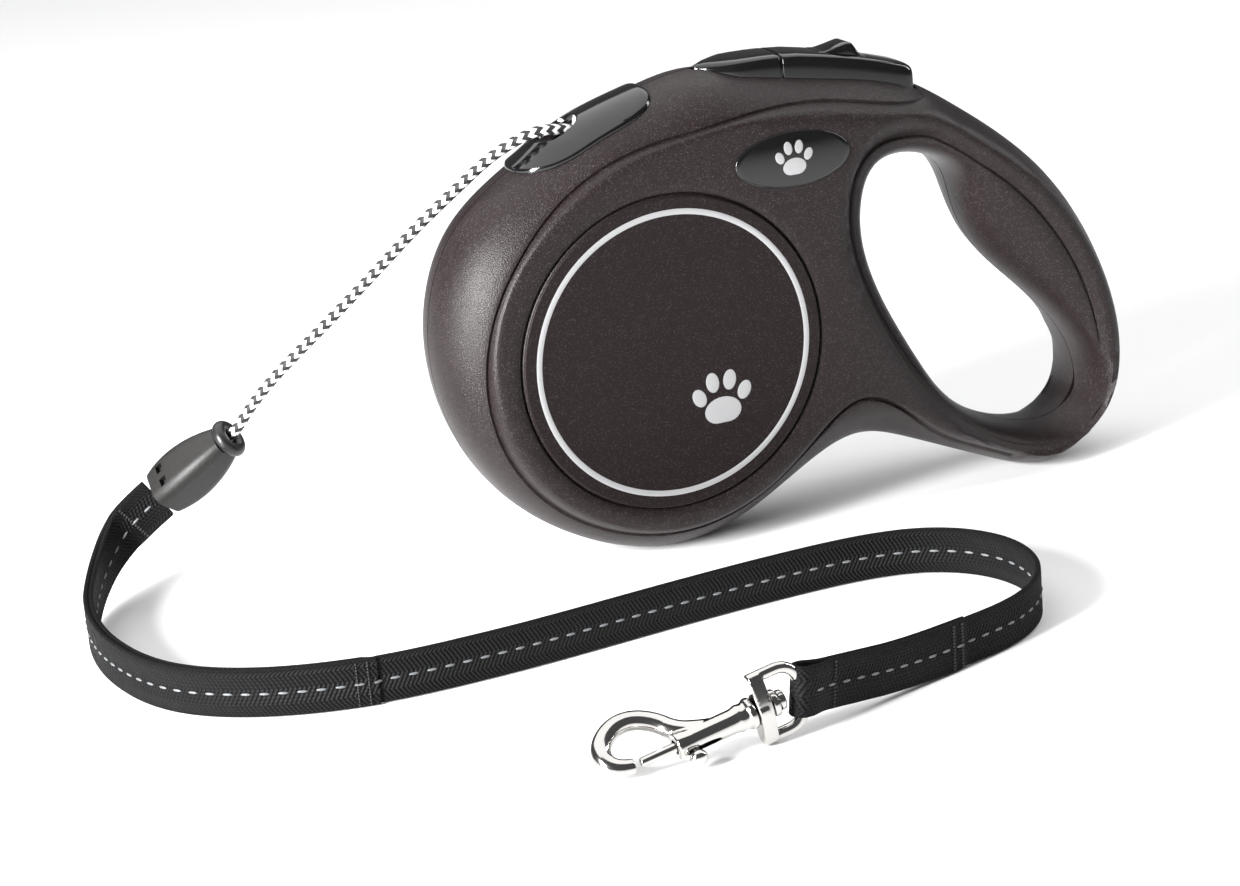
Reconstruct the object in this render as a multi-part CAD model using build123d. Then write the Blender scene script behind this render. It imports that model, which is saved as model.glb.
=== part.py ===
from build123d import *
import os
from math import cos, pi, radians, sin, tan

# Retractable dog leash: a two-half plastic case with a loop handle, a sprung cord reel with a
# thumb brake inside it, and a round cord that leaves the nose and ends in a stopper, a webbing
# strap and a swivelling bolt snap. Millimetres, +Z up. The case stands on the floor (z = 0) on
# its drum and on the heel of its handle; the nose points to -X and the left half is on -Y.

# ---- driving dimensions -------------------------------------------------------------------
REEL_X, REEL_Z = -39.3, 56.6      # reel axis, which runs along Y
RIM_HALF = 16.0                   # half thickness at the rim and handle
PANEL_HALF = 19.6                 # half thickness at the raised side panel
DISC_HALF = 20.3                  # half thickness at the round side discs
RIM_ROUND, GRIP_ROUND = 5.0, 3.0  # edge rounding outside and round the finger opening
WALL = 2.6
PANEL_R, DISC_R = 49.3, 40.8
DRUM_CAVITY_R, SIDE_CAVITY_R, CAVITY_HALF = 52.5, 45.0, 17.0

AXLE_R, AXLE_HALF = 3.0, 18.0
RUNNING = 0.05                    # radial running clearance on pins and shafts
HUB_R, FLANGE_R, TOOTH_H, TEETH = 15.0, 46.5, 3.0, 24
FLANGE_T, SPOOL_HALF = 1.6, 7.5
WOUND_R = 41.0
SPRING_POCKET_R, SPRING_POCKET_END = 43.0, 16.0
SPRING_W, SPRING_T, SPRING_TURNS, SPRING_PITCH = 5.6, 0.5, 11, 2.9

BUTTON_HALF_W, BUTTON_GAP = 7.8, 0.4
PIN_X, PIN_Z, PIN_R = 26.0, 118.6, 1.5   # brake pivot, x from the reel axis

CORD_R = 1.4
STRAP_W, STRAP_T = 12.0, 1.4

HOOK_TILT = 11.3                  # the snap slopes down from its eye to the floor
HOOK_ROLL = 31.0                  # the snap's ring plane, up from the floor
EYE_AT = Vector(-71.5, -134.9, 9.5)     # swivel axis where it meets the yoke's back face
ROD_REACH = 9.6                   # from there to the rod that the strap is folded round
ROD_R = 1.35

STANDING = (Align.CENTER, Align.CENTER, Align.MIN)

# ---- outlines in the XZ plane: x from the reel axis, z from the floor ----------------------
# The two lowest points lie just under the floor: the case is cut flat there to make its feet.
DRUM_OUTLINE = [(-29.5, 108.2), (-49, 93.2), (-58.5, 68), (-56.5, 47), (-44, 23), (-22, 5.8), (0, -0.4)]
BELLY_OUTLINE = [(22.3, 4.2), (41.2, 14.3), (55, 19), (72, 14.5), (97.3, 3.2), (110, -0.4)]
BACK_OUTLINE = [(124.2, 5), (133.6, 15), (137.1, 31), (132, 56), (115.7, 83.3), (92, 103.4),
                (77, 112.6), (52, 118.9), (30, 122.8), (16, 124), (4, 121.6), (-14, 116.3)]
FINGER_OPENING = [(77, 93), (66, 91.7), (61.2, 82), (62.3, 66), (72, 43.4), (80.4, 29.1), (90, 19.6),
                  (101, 13.5), (111, 10.8), (119.5, 11.6), (125.6, 17), (126, 24.5), (122.6, 33.8),
                  (108.2, 51.3), (93.8, 68.7), (90.2, 79), (87.6, 87)]
PANEL_NECK = [(-35, 91.3), (-12, 106.5), (14, 111.3), (40, 112.4), (63, 109), (72, 103.5), (60, 99.5),
              (53.2, 90), (52.4, 76), (55.5, 62), (64, 44), (73, 28.5), (62, 29.5), (52, 33.3),
              (42, 28.6), (30, 20), (0, 40)]
BADGE_AT, BADGE_RX, BADGE_RY = (36.5, 101.2), 16.0, 7.2
BUTTON_SIDE = [(19.5, 124.4), (30, 126.6), (45, 126.2), (62, 122.6), (78.6, 117.6), (78.6, 105),
               (74.6, 105), (74.6, 111.5), (48, 116), (34, 119.0), (30, 115.6), (22, 115.6)]
SCREW_POSTS = [(84.5, 98.5), (107, 81), (122, 52), (48.5, 27), (10, 114.5)]
POST_R, SCREW_R, HEAD_R = 3.0, 1.25, 2.4
BUTTON_SPRING_X, SPRING_SEAT_Z = 66.0, 100.0

# ---- free cord and strap: hand-laid routes, whole-model coordinates -------------------------
CORD_ROUTE = [(-53.3, 0, 113.67), (-63.4, 0, 113.95), (-74.6, 1.4, 112.3), (-85.4, 4.5, 107.4),
              (-95.2, 8.5, 100.2), (-104.8, 12.8, 91.0), (-114.4, 17.0, 80.8), (-123.6, 21.4, 70.2),
              (-132.2, 25.8, 58.6), (-138.6, 29.4, 48.6), (-142.6, 31.8, 42.0), (-147.9, 35.17, 37.37)]
STOPPER_FRONT, STOPPER_REAR = Vector(*CORD_ROUTE[-2]), Vector(-160.9, 43.4, 26.0)
KNOT_R, KNOT_AT = 3.7, 11.5
# centre x, y, z and thickness in layers of webbing; the web stands on its edge all the way
STRAP_ROUTE = [(-162.3, 44.2, 24.7, 2), (-169.6, 46.2, 19.2, 2), (-176.4, 43.4, 13.7, 2),
               (-181.9, 36.8, 9.3, 2), (-186.2, 27.2, 7.0, 2), (-189.8, 15.2, 6.2, 2),
               (-191.7, 0.6, 6.2, 2), (-191.2, -14.2, 6.2, 2), (-187.5, -30.6, 6.2, 2),
               (-180.3, -43.4, 6.2, 2), (-168.2, -53.2, 6.2, 2), (-153.0, -60.0, 6.2, 2),
               (-134.6, -64.0, 6.2, 2), (-108.2, -63.8, 6.2, 2), (-106.6, -63.7, 6.2, 1),
               (-88.6, -62.3, 6.2, 1), (-65.3, -59.8, 6.2, 1), (-38.0, -57.6, 6.2, 1),
               (-13.0, -57.1, 6.2, 1), (1.4, -59.5, 6.2, 1), (10.4, -64.0, 6.2, 1),
               (17.2, -70.8, 6.2, 1), (21.4, -80.4, 6.2, 1), (21.6, -91.4, 6.2, 1),
               (17.6, -102.2, 6.2, 1), (10.4, -110.6, 6.2, 1), (0.4, -116.4, 6.2, 1),
               (-11.6, -119.8, 6.2, 1), (-13.1, -120.2, 6.2, 2), (-33.1, -126.0, 7.0, 2),
               (-49.0, -130.8, 9.4, 2), (-59.9, -134.1, 11.0, 2)]


def place(points):
    """Outline points moved from the reel axis to the model's own origin."""
    return [(REEL_X + x, z) for x, z in points]


def slab(face, y_from, y_to):
    """A face drawn in the XZ plane, given thickness along Y."""
    return Pos(0, y_to, 0) * extrude(Plane.XZ * face, amount=y_to - y_from)


def y_cylinder(radius, y_from, y_to, x=REEL_X, z=REEL_Z):
    """A cylinder along Y."""
    return slab(Pos(x, z) * Circle(radius), y_from, y_to)


def body_face():
    """The case seen from the side: drum, feet and handle, less the finger opening."""
    outline = make_face(Spline(*place(DRUM_OUTLINE + BELLY_OUTLINE + BACK_OUTLINE), periodic=True))
    return outline - make_face(Spline(*place(FINGER_OPENING), periodic=True))


def hollow_face(face, samples=72):
    """The inside of the case's wall: smooth loops a wall's thickness in from the face's edges."""
    inset = offset(face, -WALL).faces()[0]
    loops = []
    for wire in [inset.outer_wire(), *inset.inner_wires()]:
        points = [wire @ (i / samples) for i in range(samples)]
        loops.append(make_face(Spline(*[(p.X, p.Y) for p in points], periodic=True)))
    return loops[0] - loops[1]


def panel_face():
    """The raised side panel: a disc round the reel with a neck towards the handle."""
    neck = make_face(FilletPolyline(*place(PANEL_NECK), radius=1.2, close=True))
    return Pos(REEL_X, REEL_Z) * Circle(PANEL_R) + neck


def nozzle_block(grow=0.0):
    """The saddle over the nose: a strip that follows the outline, 25 mm wide with round ends."""
    outer = place([(-35.6, 104.6), (-24, 112.8), (-9, 118.9), (7.6, 123.6)])
    inner = place([(4.6, 114.6), (-20, 106.4), (-31.6, 98.6)])
    side = make_face(Curve() + [Spline(*outer), Polyline(outer[-1], *inner, outer[0])])
    strip = slab(side, -12.5 - grow, 12.5 + grow)
    plan = Pos(REEL_X - 14.5, 0) * RectangleRounded(42.0 + 2 * grow, 25 + 2 * grow, 9.5)
    return strip & Pos(0, 0, 90) * extrude(plan, amount=40)


def nozzle_bore(radius):
    """The cord's way out: nearly level, so that it breaks the sloping saddle as a long oval."""
    start = Vector(REEL_X + 1.0, 0, 113.22)
    return Plane(origin=start, z_dir=(-1, 0, 0.03)) * Cylinder(
        radius, 42, align=STANDING)


def case_half(side):
    """One moulded half of the case; side is -1 for the left (-Y) half and 1 for the right."""
    face = body_face()
    shell = slab(face, 0, RIM_HALF)
    rim = shell.faces().sort_by(Axis.Y)[-1]
    shell = fillet(rim.outer_wire().edges(), RIM_ROUND)
    rim = shell.faces().sort_by(Axis.Y)[-1]
    shell = fillet(rim.inner_wires()[0].edges(), GRIP_ROUND)
    shell &= Pos(0, 0, 100) * Box(400, 100, 200)
    panel = slab(panel_face(), RIM_HALF - 1, PANEL_HALF)
    panel = fillet(panel.faces().sort_by(Axis.Y)[-1].outer_wire().edges(), 1.0)
    shell = shell + panel
    shell -= slab(hollow_face(face), 0, RIM_HALF - WALL)
    shell -= y_cylinder(SIDE_CAVITY_R, 0, CAVITY_HALF)
    for x, z in place(SCREW_POSTS):
        shell += y_cylinder(POST_R, 0, RIM_HALF - 1, x, z)
    pin_x, pin_z = REEL_X + PIN_X, PIN_Z
    shell += y_cylinder(PIN_R + 1.6, BUTTON_HALF_W, RIM_HALF - WALL, pin_x, pin_z)
    seat = Pos(REEL_X + BUTTON_SPRING_X, 0, SPRING_SEAT_Z) * Cylinder(
        4.2, 5, align=(Align.CENTER, Align.CENTER, Align.MAX))
    shell += seat & Pos(0, 50, 50) * Box(500, 100, 500)
    shell -= y_cylinder(AXLE_R, 0, AXLE_HALF)
    shell -= y_cylinder(DISC_R + 0.15, DISC_HALF - 1.6, DISC_HALF)
    shell -= slab(badge_face(0.15), PANEL_HALF - 0.6, PANEL_HALF + 1)
    shell -= nozzle_block(0.1)
    shell -= nozzle_bore(3.6)
    shell -= button_slot()
    shell -= y_cylinder(PIN_R, 0, 11.2, pin_x, pin_z)
    if side > 0:
        for x, z in place(SCREW_POSTS):
            shell -= y_cylinder(SCREW_R, 0, RIM_HALF, x, z)
            shell -= y_cylinder(HEAD_R + 0.15, RIM_HALF - 4, PANEL_HALF + 1, x, z)
    else:
        for x, z in place(SCREW_POSTS):
            shell -= y_cylinder(SCREW_R, 0, 9, x, z)
        shell = mirror(shell, Plane.XZ)
    return shell


def badge_face(grow=0.0):
    return Pos(*place([BADGE_AT])[0]) * Ellipse(BADGE_RX + grow, BADGE_RY + grow)


def badge(side):
    """A small domed oval plate let into the side panel."""
    plate = slab(badge_face(), PANEL_HALF - 0.6, PANEL_HALF + 0.6)
    plate = fillet(plate.faces().sort_by(Axis.Y)[-1].edges(), 0.8)
    return plate if side > 0 else mirror(plate, Plane.XZ)


def disc(side):
    """The round side disc over the reel."""
    plate = y_cylinder(DISC_R, DISC_HALF - 1.6, DISC_HALF)
    plate = fillet(plate.faces().sort_by(Axis.Y)[-1].edges(), 0.4)
    plate -= y_cylinder(AXLE_R + 0.3, DISC_HALF - 2, AXLE_HALF + 0.1)
    return plate if side > 0 else mirror(plate, Plane.XZ)


def nozzle():
    """Glossy saddle that the cord comes out of."""
    block = nozzle_block()
    block -= y_cylinder(DRUM_CAVITY_R, -20, 20)
    return block - nozzle_bore(3.6)


def cord_guide():
    """Hard wear bush at the root of the nozzle's bore."""
    at = Plane(origin=(REEL_X - 9.0, 0, 113.52), z_dir=(-1, 0, 0.03))
    tube = Cylinder(3.6, 5, align=STANDING)
    hole = Cylinder(CORD_R, 12, align=(Align.CENTER, Align.CENTER, Align.CENTER))
    return at * (tube - hole)


def reel_drum():
    """Reel half with the hub and the toothed flange that the brake stops."""
    tooth = Polygon((-3.3, 0), (3.3, 0), (1.4, TOOTH_H + 0.9), (-1.4, TOOTH_H + 0.9), align=None)
    rim = Circle(FLANGE_R)
    for i in range(TEETH):
        turn = (i + 0.5) * 360 / TEETH
        rim += Rot(0, 0, turn) * Pos(0, FLANGE_R - 0.9) * tooth
    flange = slab(Pos(REEL_X, REEL_Z) * rim, -SPOOL_HALF - FLANGE_T, -SPOOL_HALF)
    hub = y_cylinder(HUB_R, -SPOOL_HALF, SPOOL_HALF)
    return flange + hub - y_cylinder(AXLE_R + RUNNING, -20, 20)


def reel_flange():
    """Plain flange with the pocket for the return spring on its far side."""
    end = SPOOL_HALF + FLANGE_T
    plate = y_cylinder(FLANGE_R, SPOOL_HALF, end)
    ring = y_cylinder(SPRING_POCKET_R, end, SPRING_POCKET_END)
    ring -= y_cylinder(SPRING_POCKET_R - 2, end, SPRING_POCKET_END)
    return plate + ring - y_cylinder(AXLE_R + RUNNING, 0, 20)


def spring_cover():
    """Thin disc that closes the spring pocket."""
    plate = y_cylinder(SPRING_POCKET_R, SPRING_POCKET_END, SPRING_POCKET_END + 0.6)
    return plate - y_cylinder(AXLE_R + RUNNING, 0, 20)


def clock_spring():
    """Flat coiled return spring: a strip wound in half turns of growing radius."""
    inner = []
    outer = []
    radius = 5.0
    for i in range(2 * SPRING_TURNS):
        step = SPRING_PITCH / 2
        shift = step / 2 if i % 2 else -step / 2
        start = 180 * (i % 2)
        centre = (shift + step / 2, 0)
        inner.append(CenterArc(centre, radius, start, 180))
        outer.append(CenterArc(centre, radius + SPRING_T, start, 180))
        radius += step
    ends = [Line(inner[0] @ 0, outer[0] @ 0), Line(inner[-1] @ 1, outer[-1] @ 1)]
    strip = make_face(Curve() + inner + outer + ends)
    floor = SPOOL_HALF + FLANGE_T + 0.4
    return slab(Pos(REEL_X, REEL_Z) * strip, floor, floor + SPRING_W)


def wound_cord():
    """The cord on the reel, as the outer shape of its winding."""
    coil = y_cylinder(WOUND_R, -SPOOL_HALF, SPOOL_HALF)
    return coil - y_cylinder(HUB_R, -SPOOL_HALF, SPOOL_HALF)


def reel_axle():
    """Steel axle, held at both ends in the case."""
    axle = y_cylinder(AXLE_R, -AXLE_HALF, AXLE_HALF)
    return chamfer(axle.edges().filter_by(GeomType.CIRCLE), 0.4)


def cord_lead():
    """The run of cord inside the case, from the winding to the wear bush."""
    start = Vector(REEL_X - 7.6, 0, 113.45)
    end = Vector(REEL_X + 18.6, 0, 97.2)
    run = end - start
    return Plane(origin=start + run.normalized() * 2.2, z_dir=run) * Cylinder(
        CORD_R, run.length - 6, align=STANDING)


def button_slot():
    """Room for the brake button in the top of the case."""
    side = place([(27.4, 130), (79.4, 130), (79.4, 97), (34, 97), (31, 112), (20, 113), (18.6, 130)])
    room = slab(make_face(Polyline(*side, close=True)), -20, 20)
    half = BUTTON_HALF_W + BUTTON_GAP
    plan = Polyline((REEL_X + 18.6, 1.2), (REEL_X + 27.4, half), (REEL_X + 79.4, half),
                    (REEL_X + 79.4, -half), (REEL_X + 27.4, -half), (REEL_X + 18.6, -1.2), close=True)
    return room & Pos(0, 0, 95) * extrude(make_face(plan), amount=40)


def brake_button():
    """Thumb button: hinged at its pointed front, pressed at its rear, hollow underneath."""
    side = slab(make_face(Polyline(*place(BUTTON_SIDE), close=True)), -BUTTON_HALF_W, BUTTON_HALF_W)
    plan = Polyline((REEL_X + 19.4, 1.0), (REEL_X + 28, BUTTON_HALF_W), (REEL_X + 80, BUTTON_HALF_W),
                    (REEL_X + 80, -BUTTON_HALF_W), (REEL_X + 28, -BUTTON_HALF_W),
                    (REEL_X + 19.4, -1.0), close=True)
    button = side & Pos(0, 0, 95) * extrude(make_face(plan), amount=40)
    wall = place([(34, 119.2), (48, 116.2), (74.8, 111.7), (74.8, 106.4), (34, 114.4)])
    skirt = slab(make_face(Polyline(*wall, close=True)), -BUTTON_HALF_W, BUTTON_HALF_W)
    hollow = place([(30, 122), (76, 112.5), (76, 100), (30, 100)])
    skirt -= slab(make_face(Polyline(*hollow, close=True)), 1.4 - BUTTON_HALF_W, BUTTON_HALF_W - 1.4)
    button += skirt
    button -= slider_track(3.0, 0.3)
    return button - y_cylinder(PIN_R + RUNNING, -20, 20, REEL_X + PIN_X, PIN_Z)


TRACK_AT, TRACK_DROP = (57.5, 122.2), 13.6    # middle of the lock's track and its slope


def track_plane(lift=0.0):
    """A plane along the button's sloping top; its local x runs to the rear."""
    x, z = place([TRACK_AT])[0]
    slope = radians(TRACK_DROP)
    along, up = (cos(slope), 0, -sin(slope)), (sin(slope), 0, cos(slope))
    return Plane(origin=(x, 0, z), x_dir=along, z_dir=up).offset(lift)


def slider_track(travel, grow):
    """Shallow trough that the lock slides in."""
    return track_plane(-0.9) * Box(15 + 2 * travel, 9 + 2 * grow, 8, align=STANDING)


def lock_slider():
    """Permanent-stop lock: a plate with a wedge for the thumb, at the rear of its track."""
    plate = Box(14, 9, 1.2, align=STANDING)
    side = Polyline((-5.5, 1.1), (0.5, 3.6), (2.4, 3.5), (6, 1.1), close=True)
    wedge = extrude(Plane.XZ * make_face(side), amount=3.8, both=True)
    return track_plane(-0.8) * Pos(2.8, 0, 0) * (plate + wedge)


def button_pin():
    """Steel pin that the brake button rocks on."""
    return y_cylinder(PIN_R, -11, 11, REEL_X + PIN_X, PIN_Z)


def brake_pawl():
    """Stop leg under the button; it steps out past the skirt and ends over the reel's teeth."""
    root = place([(36, 118.571), (44, 116.857), (44, 107), (36, 107)])
    step = place([(36, 111), (44, 111), (44, 107), (36, 107)])
    leg = place([(36, 111), (44, 111), (42.6, 96), (38.2, 91.2), (36.6, 93.2), (36, 107)])
    pawl = slab(make_face(Polyline(*root, close=True)), -6.0, 3)
    pawl += slab(make_face(Polyline(*step, close=True)), -9.4, 3)
    return pawl + slab(make_face(Polyline(*leg, close=True)), -9.4, -7.3)


def button_spring():
    """Compression spring under the rear of the button."""
    coil = Helix(pitch=2.28, height=11.4, radius=2.6)
    wire = Plane(origin=coil @ 0, z_dir=coil % 0) * Circle(0.4)
    return Pos(REEL_X + BUTTON_SPRING_X, 0, SPRING_SEAT_Z + 0.4) * sweep(wire, path=coil, is_frenet=True)


def case_screws():
    """Self-tapping screws, driven in from the right."""
    screws = []
    for x, z in place(SCREW_POSTS):
        head = y_cylinder(HEAD_R, RIM_HALF - 4, RIM_HALF - 2.2, x, z)
        screws.append(head + y_cylinder(SCREW_R, -8.5, RIM_HALF - 4, x, z))
    return Compound(children=screws)


def bend_radii(points):
    """Each bend as large as its two runs allow: 0.45 of the shorter run over tan(half the turn)."""
    radii = []
    for before, here, after in zip(points, points[1:], points[2:]):
        run_in, run_out = Vector(here) - Vector(before), Vector(after) - Vector(here)
        half_turn = radians(run_in.get_angle(run_out)) / 2
        radii.append(0.45 * min(run_in.length, run_out.length) / tan(half_turn))
    return radii


def cord():
    """The free cord from the nozzle's bush to the stopper."""
    radii = bend_radii(CORD_ROUTE)
    print("cord bend radii:", [round(r, 1) for r in radii])
    path = FilletPolyline(*CORD_ROUTE, radius=radii)
    tube = sweep(Plane(origin=path @ 0, z_dir=path % 0) * Circle(CORD_R), path=path)
    ratio = tube.volume / (pi * CORD_R ** 2 * path.length)
    print("cord length", round(path.length, 1), "volume ratio", round(ratio, 4))
    return tube


def stopper_plane(along):
    """A plane across the stopper, so many mm behind the front of its axis."""
    axis = (STOPPER_REAR - STOPPER_FRONT).normalized()
    across = axis.cross(Vector(0, 0, 1)).normalized()
    return Plane(origin=STOPPER_FRONT + axis * along, x_dir=across, z_dir=axis)


def stopper():
    """Barrel of the stopper before it is split: a rounded square that swells to the rear."""
    rows = [(4.0, 8.2, 2.6), (9, 10.8, 3.0), (18, 12.6, 3.2), (26.4, 11.0, 3.2)]
    sections = [stopper_plane(along) * Rot(0, 0, 45) * RectangleRounded(s, s, r) for along, s, r in rows]
    barrel = loft(sections)
    barrel -= stopper_plane(0) * Cylinder(CORD_R + 0.05, 20)
    barrel -= stopper_plane(KNOT_AT) * Sphere(KNOT_R + 0.1)
    return barrel - stopper_plane(KNOT_AT) * Cylinder(2.9, 20, align=STANDING)


def stopper_half(side):
    """Half of the barrel; the halves meet on a plane along the axis."""
    cutter = Pos(side * 20, 0, 15) * Box(40, 40, 60)
    half = stopper() & stopper_plane(0) * Rot(0, 0, 45) * cutter
    if side < 0:
        for across in (-2.1, 2.1):
            half -= stopper_plane(21.5) * Rot(0, 0, 45) * Pos(-6, across, 0) * Box(3, 2.4, 2.2)
    return half


def cord_knot():
    """The cord's end knot, held in the barrel."""
    return stopper_plane(KNOT_AT) * Sphere(KNOT_R)


def cord_tail():
    """The doubled yarn that ties the knot to the strap's fold."""
    start = KNOT_AT + KNOT_R
    return stopper_plane(start) * Cylinder(1.5, 26.4 - start, align=STANDING)


def o_ring():
    """Rubber bumper ring in front of the stopper."""
    ring = Torus(3.6, 1.75)
    return stopper_plane(2.2) * (ring - Cylinder(CORD_R, 8))


def strap_frames():
    """A plane across the webbing at each route point, with the width along the local y axis."""
    points = [Vector(x, y, z) for x, y, z, layers in STRAP_ROUTE]
    frames = []
    for i, here in enumerate(points):
        ahead = points[min(i + 1, len(points) - 1)] - points[max(i - 1, 0)]
        side = Vector(0, 0, 1).cross(ahead).normalized()
        frames.append(Plane(origin=here, x_dir=side, z_dir=ahead))
    rod_axis = eye_plane().x_dir
    side = rod_axis.cross(points[-1] - points[-2]).normalized()
    frames[-1] = Plane(origin=points[-1], x_dir=side, z_dir=side.cross(rod_axis))
    return frames


def strap():
    """Webbing, doubled and sewn at both ends; laid through the route as ruled spans."""
    sections = []
    for frame, (x, y, z, layers) in zip(strap_frames(), STRAP_ROUTE):
        sections.append(frame * Rectangle(STRAP_T * layers, STRAP_W))
    web = loft(sections, ruled=True)
    fold_in = ROD_R + 0.3
    fold = Cylinder(fold_in + STRAP_T, STRAP_W) - Cylinder(fold_in, STRAP_W)
    return web + eye_plane() * Pos(0, 0, -ROD_REACH) * Rot(0, 90, 0) * fold


def hook_plane():
    """The snap's own frame: local z runs along the swivel axis to the tip, local x is the side
    that the ring bulges to."""
    tilt, roll = radians(HOOK_TILT), radians(HOOK_ROLL)
    axis = Vector(-cos(tilt), 0, -sin(tilt))
    up = Vector(-sin(tilt), 0, cos(tilt))
    bulge = Vector(0, 1, 0) * cos(roll) + up * sin(roll)
    return Plane(origin=EYE_AT, x_dir=bulge, z_dir=axis)


def eye_plane():
    """The swivel eye's frame: local z along the swivel axis to the tip, local x along its rod."""
    tilt = radians(HOOK_TILT)
    return Plane(origin=EYE_AT, x_dir=(-sin(tilt), 0, cos(tilt)), z_dir=(-cos(tilt), 0, -sin(tilt)))


YOKE_T, COLLAR_END, BARREL_END, GATE_REACH = 2.6, 7.4, 22.5, 9.4
NECK_R, COLLAR_R, BARREL_R, GATE_R = 1.7, 3.5, 3.0, 1.15


def swivel_eye():
    """D-shaped eye: a flat yoke with a hole for the snap's neck, and a rod for the strap."""
    half = STRAP_W / 2 + 0.4 + ROD_R
    loop = FilletPolyline((half, 0, 1.0), (half, 0, -ROD_REACH), (-half, 0, -ROD_REACH), (-half, 0, 1.0),
                          radius=2.6)
    rod = sweep(Plane(origin=loop @ 0, z_dir=loop % 0) * Circle(ROD_R), path=loop)
    yoke = Pos(0, 0, YOKE_T / 2) * Box(2 * half + 2 * ROD_R, 5.6, YOKE_T)
    yoke = fillet(yoke.edges().filter_by(Axis.Z), 1.6)
    boss = Cylinder(4.0, YOKE_T, align=STANDING)
    return eye_plane() * (rod + yoke + boss - Cylinder(NECK_R + RUNNING, 20))


def hook_body():
    """Cast snap: rivet head, neck, collar, barrel and the open ring that the bolt closes."""
    head = Pos(0, 0, -2.7) * Cylinder(2.9, 2.4, align=STANDING)
    neck = Pos(0, 0, -0.4) * Cylinder(NECK_R, YOKE_T + 0.8, align=STANDING)
    collar = Pos(0, 0, YOKE_T + 0.3) * Cylinder(COLLAR_R, COLLAR_END - YOKE_T - 0.3,
                                               align=STANDING)
    barrel = Pos(0, 0, COLLAR_END) * Cylinder(BARREL_R, BARREL_END - COLLAR_END,
                                              align=STANDING)
    ring_path = Spline((1.4, 0, BARREL_END - 3), (6.4, 0, BARREL_END + 0.6), (11.0, 0, BARREL_END + 7.0),
                       (9.2, 0, BARREL_END + 14.4), (3.4, 0, BARREL_END + 16.2),
                       (0.1, 0, BARREL_END + GATE_REACH + 0.4),
                       tangents=[(0.6, 0, 0.8), (0, 0, -1)])
    ring = sweep(Plane(origin=ring_path @ 0, z_dir=ring_path % 0) * Circle(2.15), path=ring_path)
    body = head + neck + collar + barrel + ring
    body -= Pos(0, 0, COLLAR_END + 1.6) * Cylinder(1.75, BARREL_END - COLLAR_END - 1.0, align=STANDING)
    body -= Pos(0, 0, BARREL_END + GATE_REACH - 1.2) * Cylinder(GATE_R + 0.35, 1.9, align=STANDING)
    middle = (COLLAR_END + BARREL_END) / 2 + 2.8
    slot = Pos(-2.6, 0, middle) * Box(4, 1.7, BARREL_END - COLLAR_END - 1.6)
    return hook_plane() * (body - slot)


def hook_plunger():
    """Spring bolt: a rod that closes the ring and a thumb knob in the barrel's slot."""
    gate = Pos(0, 0, BARREL_END - 4) * Cylinder(GATE_R, GATE_REACH + 3.4, align=STANDING)
    piston = Pos(0, 0, BARREL_END - 5) * Cylinder(1.7, 3.4, align=STANDING)
    stem = Pos(-2.6, 0, BARREL_END - 3.3) * Box(3.4, 1.2, 2.2)
    knob = Pos(-5.0, 0, BARREL_END - 3.3) * Sphere(1.9)
    return hook_plane() * (gate + piston + stem + knob)


def hook_spring():
    """Compression spring behind the bolt."""
    coil = Helix(pitch=1.5, height=7.5, radius=1.15)
    wire = Plane(origin=coil @ 0, z_dir=coil % 0) * Circle(0.22)
    return hook_plane() * Pos(0, 0, COLLAR_END + 2.0) * sweep(wire, path=coil, is_frenet=True)


NODES = {
    "case_left": case_half(-1),
    "case_right": case_half(1),
    "disc_left": disc(-1),
    "disc_right": disc(1),
    "badge_left": badge(-1),
    "badge_right": badge(1),
    "nozzle": nozzle(),
    "cord_guide": cord_guide(),
    "brake_button": brake_button(),
    "lock_slider": lock_slider(),
    "button_pin": button_pin(),
    "brake_pawl": brake_pawl(),
    "button_spring": button_spring(),
    "reel_drum": reel_drum(),
    "reel_flange": reel_flange(),
    "spring_cover": spring_cover(),
    "clock_spring": clock_spring(),
    "wound_cord": wound_cord(),
    "reel_axle": reel_axle(),
    "cord_lead": cord_lead(),
    "case_screws": case_screws(),
    "cord": cord(),
    "o_ring": o_ring(),
    "stopper_front": stopper_half(-1),
    "stopper_back": stopper_half(1),
    "cord_knot": cord_knot(),
    "cord_tail": cord_tail(),
    "strap": strap(),
    "swivel_eye": swivel_eye(),
    "hook_body": hook_body(),
    "hook_plunger": hook_plunger(),
    "hook_spring": hook_spring(),
}

os.makedirs("parts", exist_ok=True)
for name, solid in NODES.items():
    export_step(solid, f"parts/{name}.step")
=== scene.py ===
"""Looks of a retractable dog leash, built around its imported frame.

The case is worked out as a field of half thicknesses over its side view. The cord, the webbing
and the cast snap follow smooth lines. Lengths are millimetres until a mesh is made.
"""

import logging
import math
from dataclasses import dataclass, field
from enum import Enum
from typing import Callable, Iterable, Sequence

import bmesh
import bpy
import numpy as np
from mathutils import Matrix, Vector
from mathutils.geometry import delaunay_2d_cdt
from mathutils.kdtree import KDTree

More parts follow.
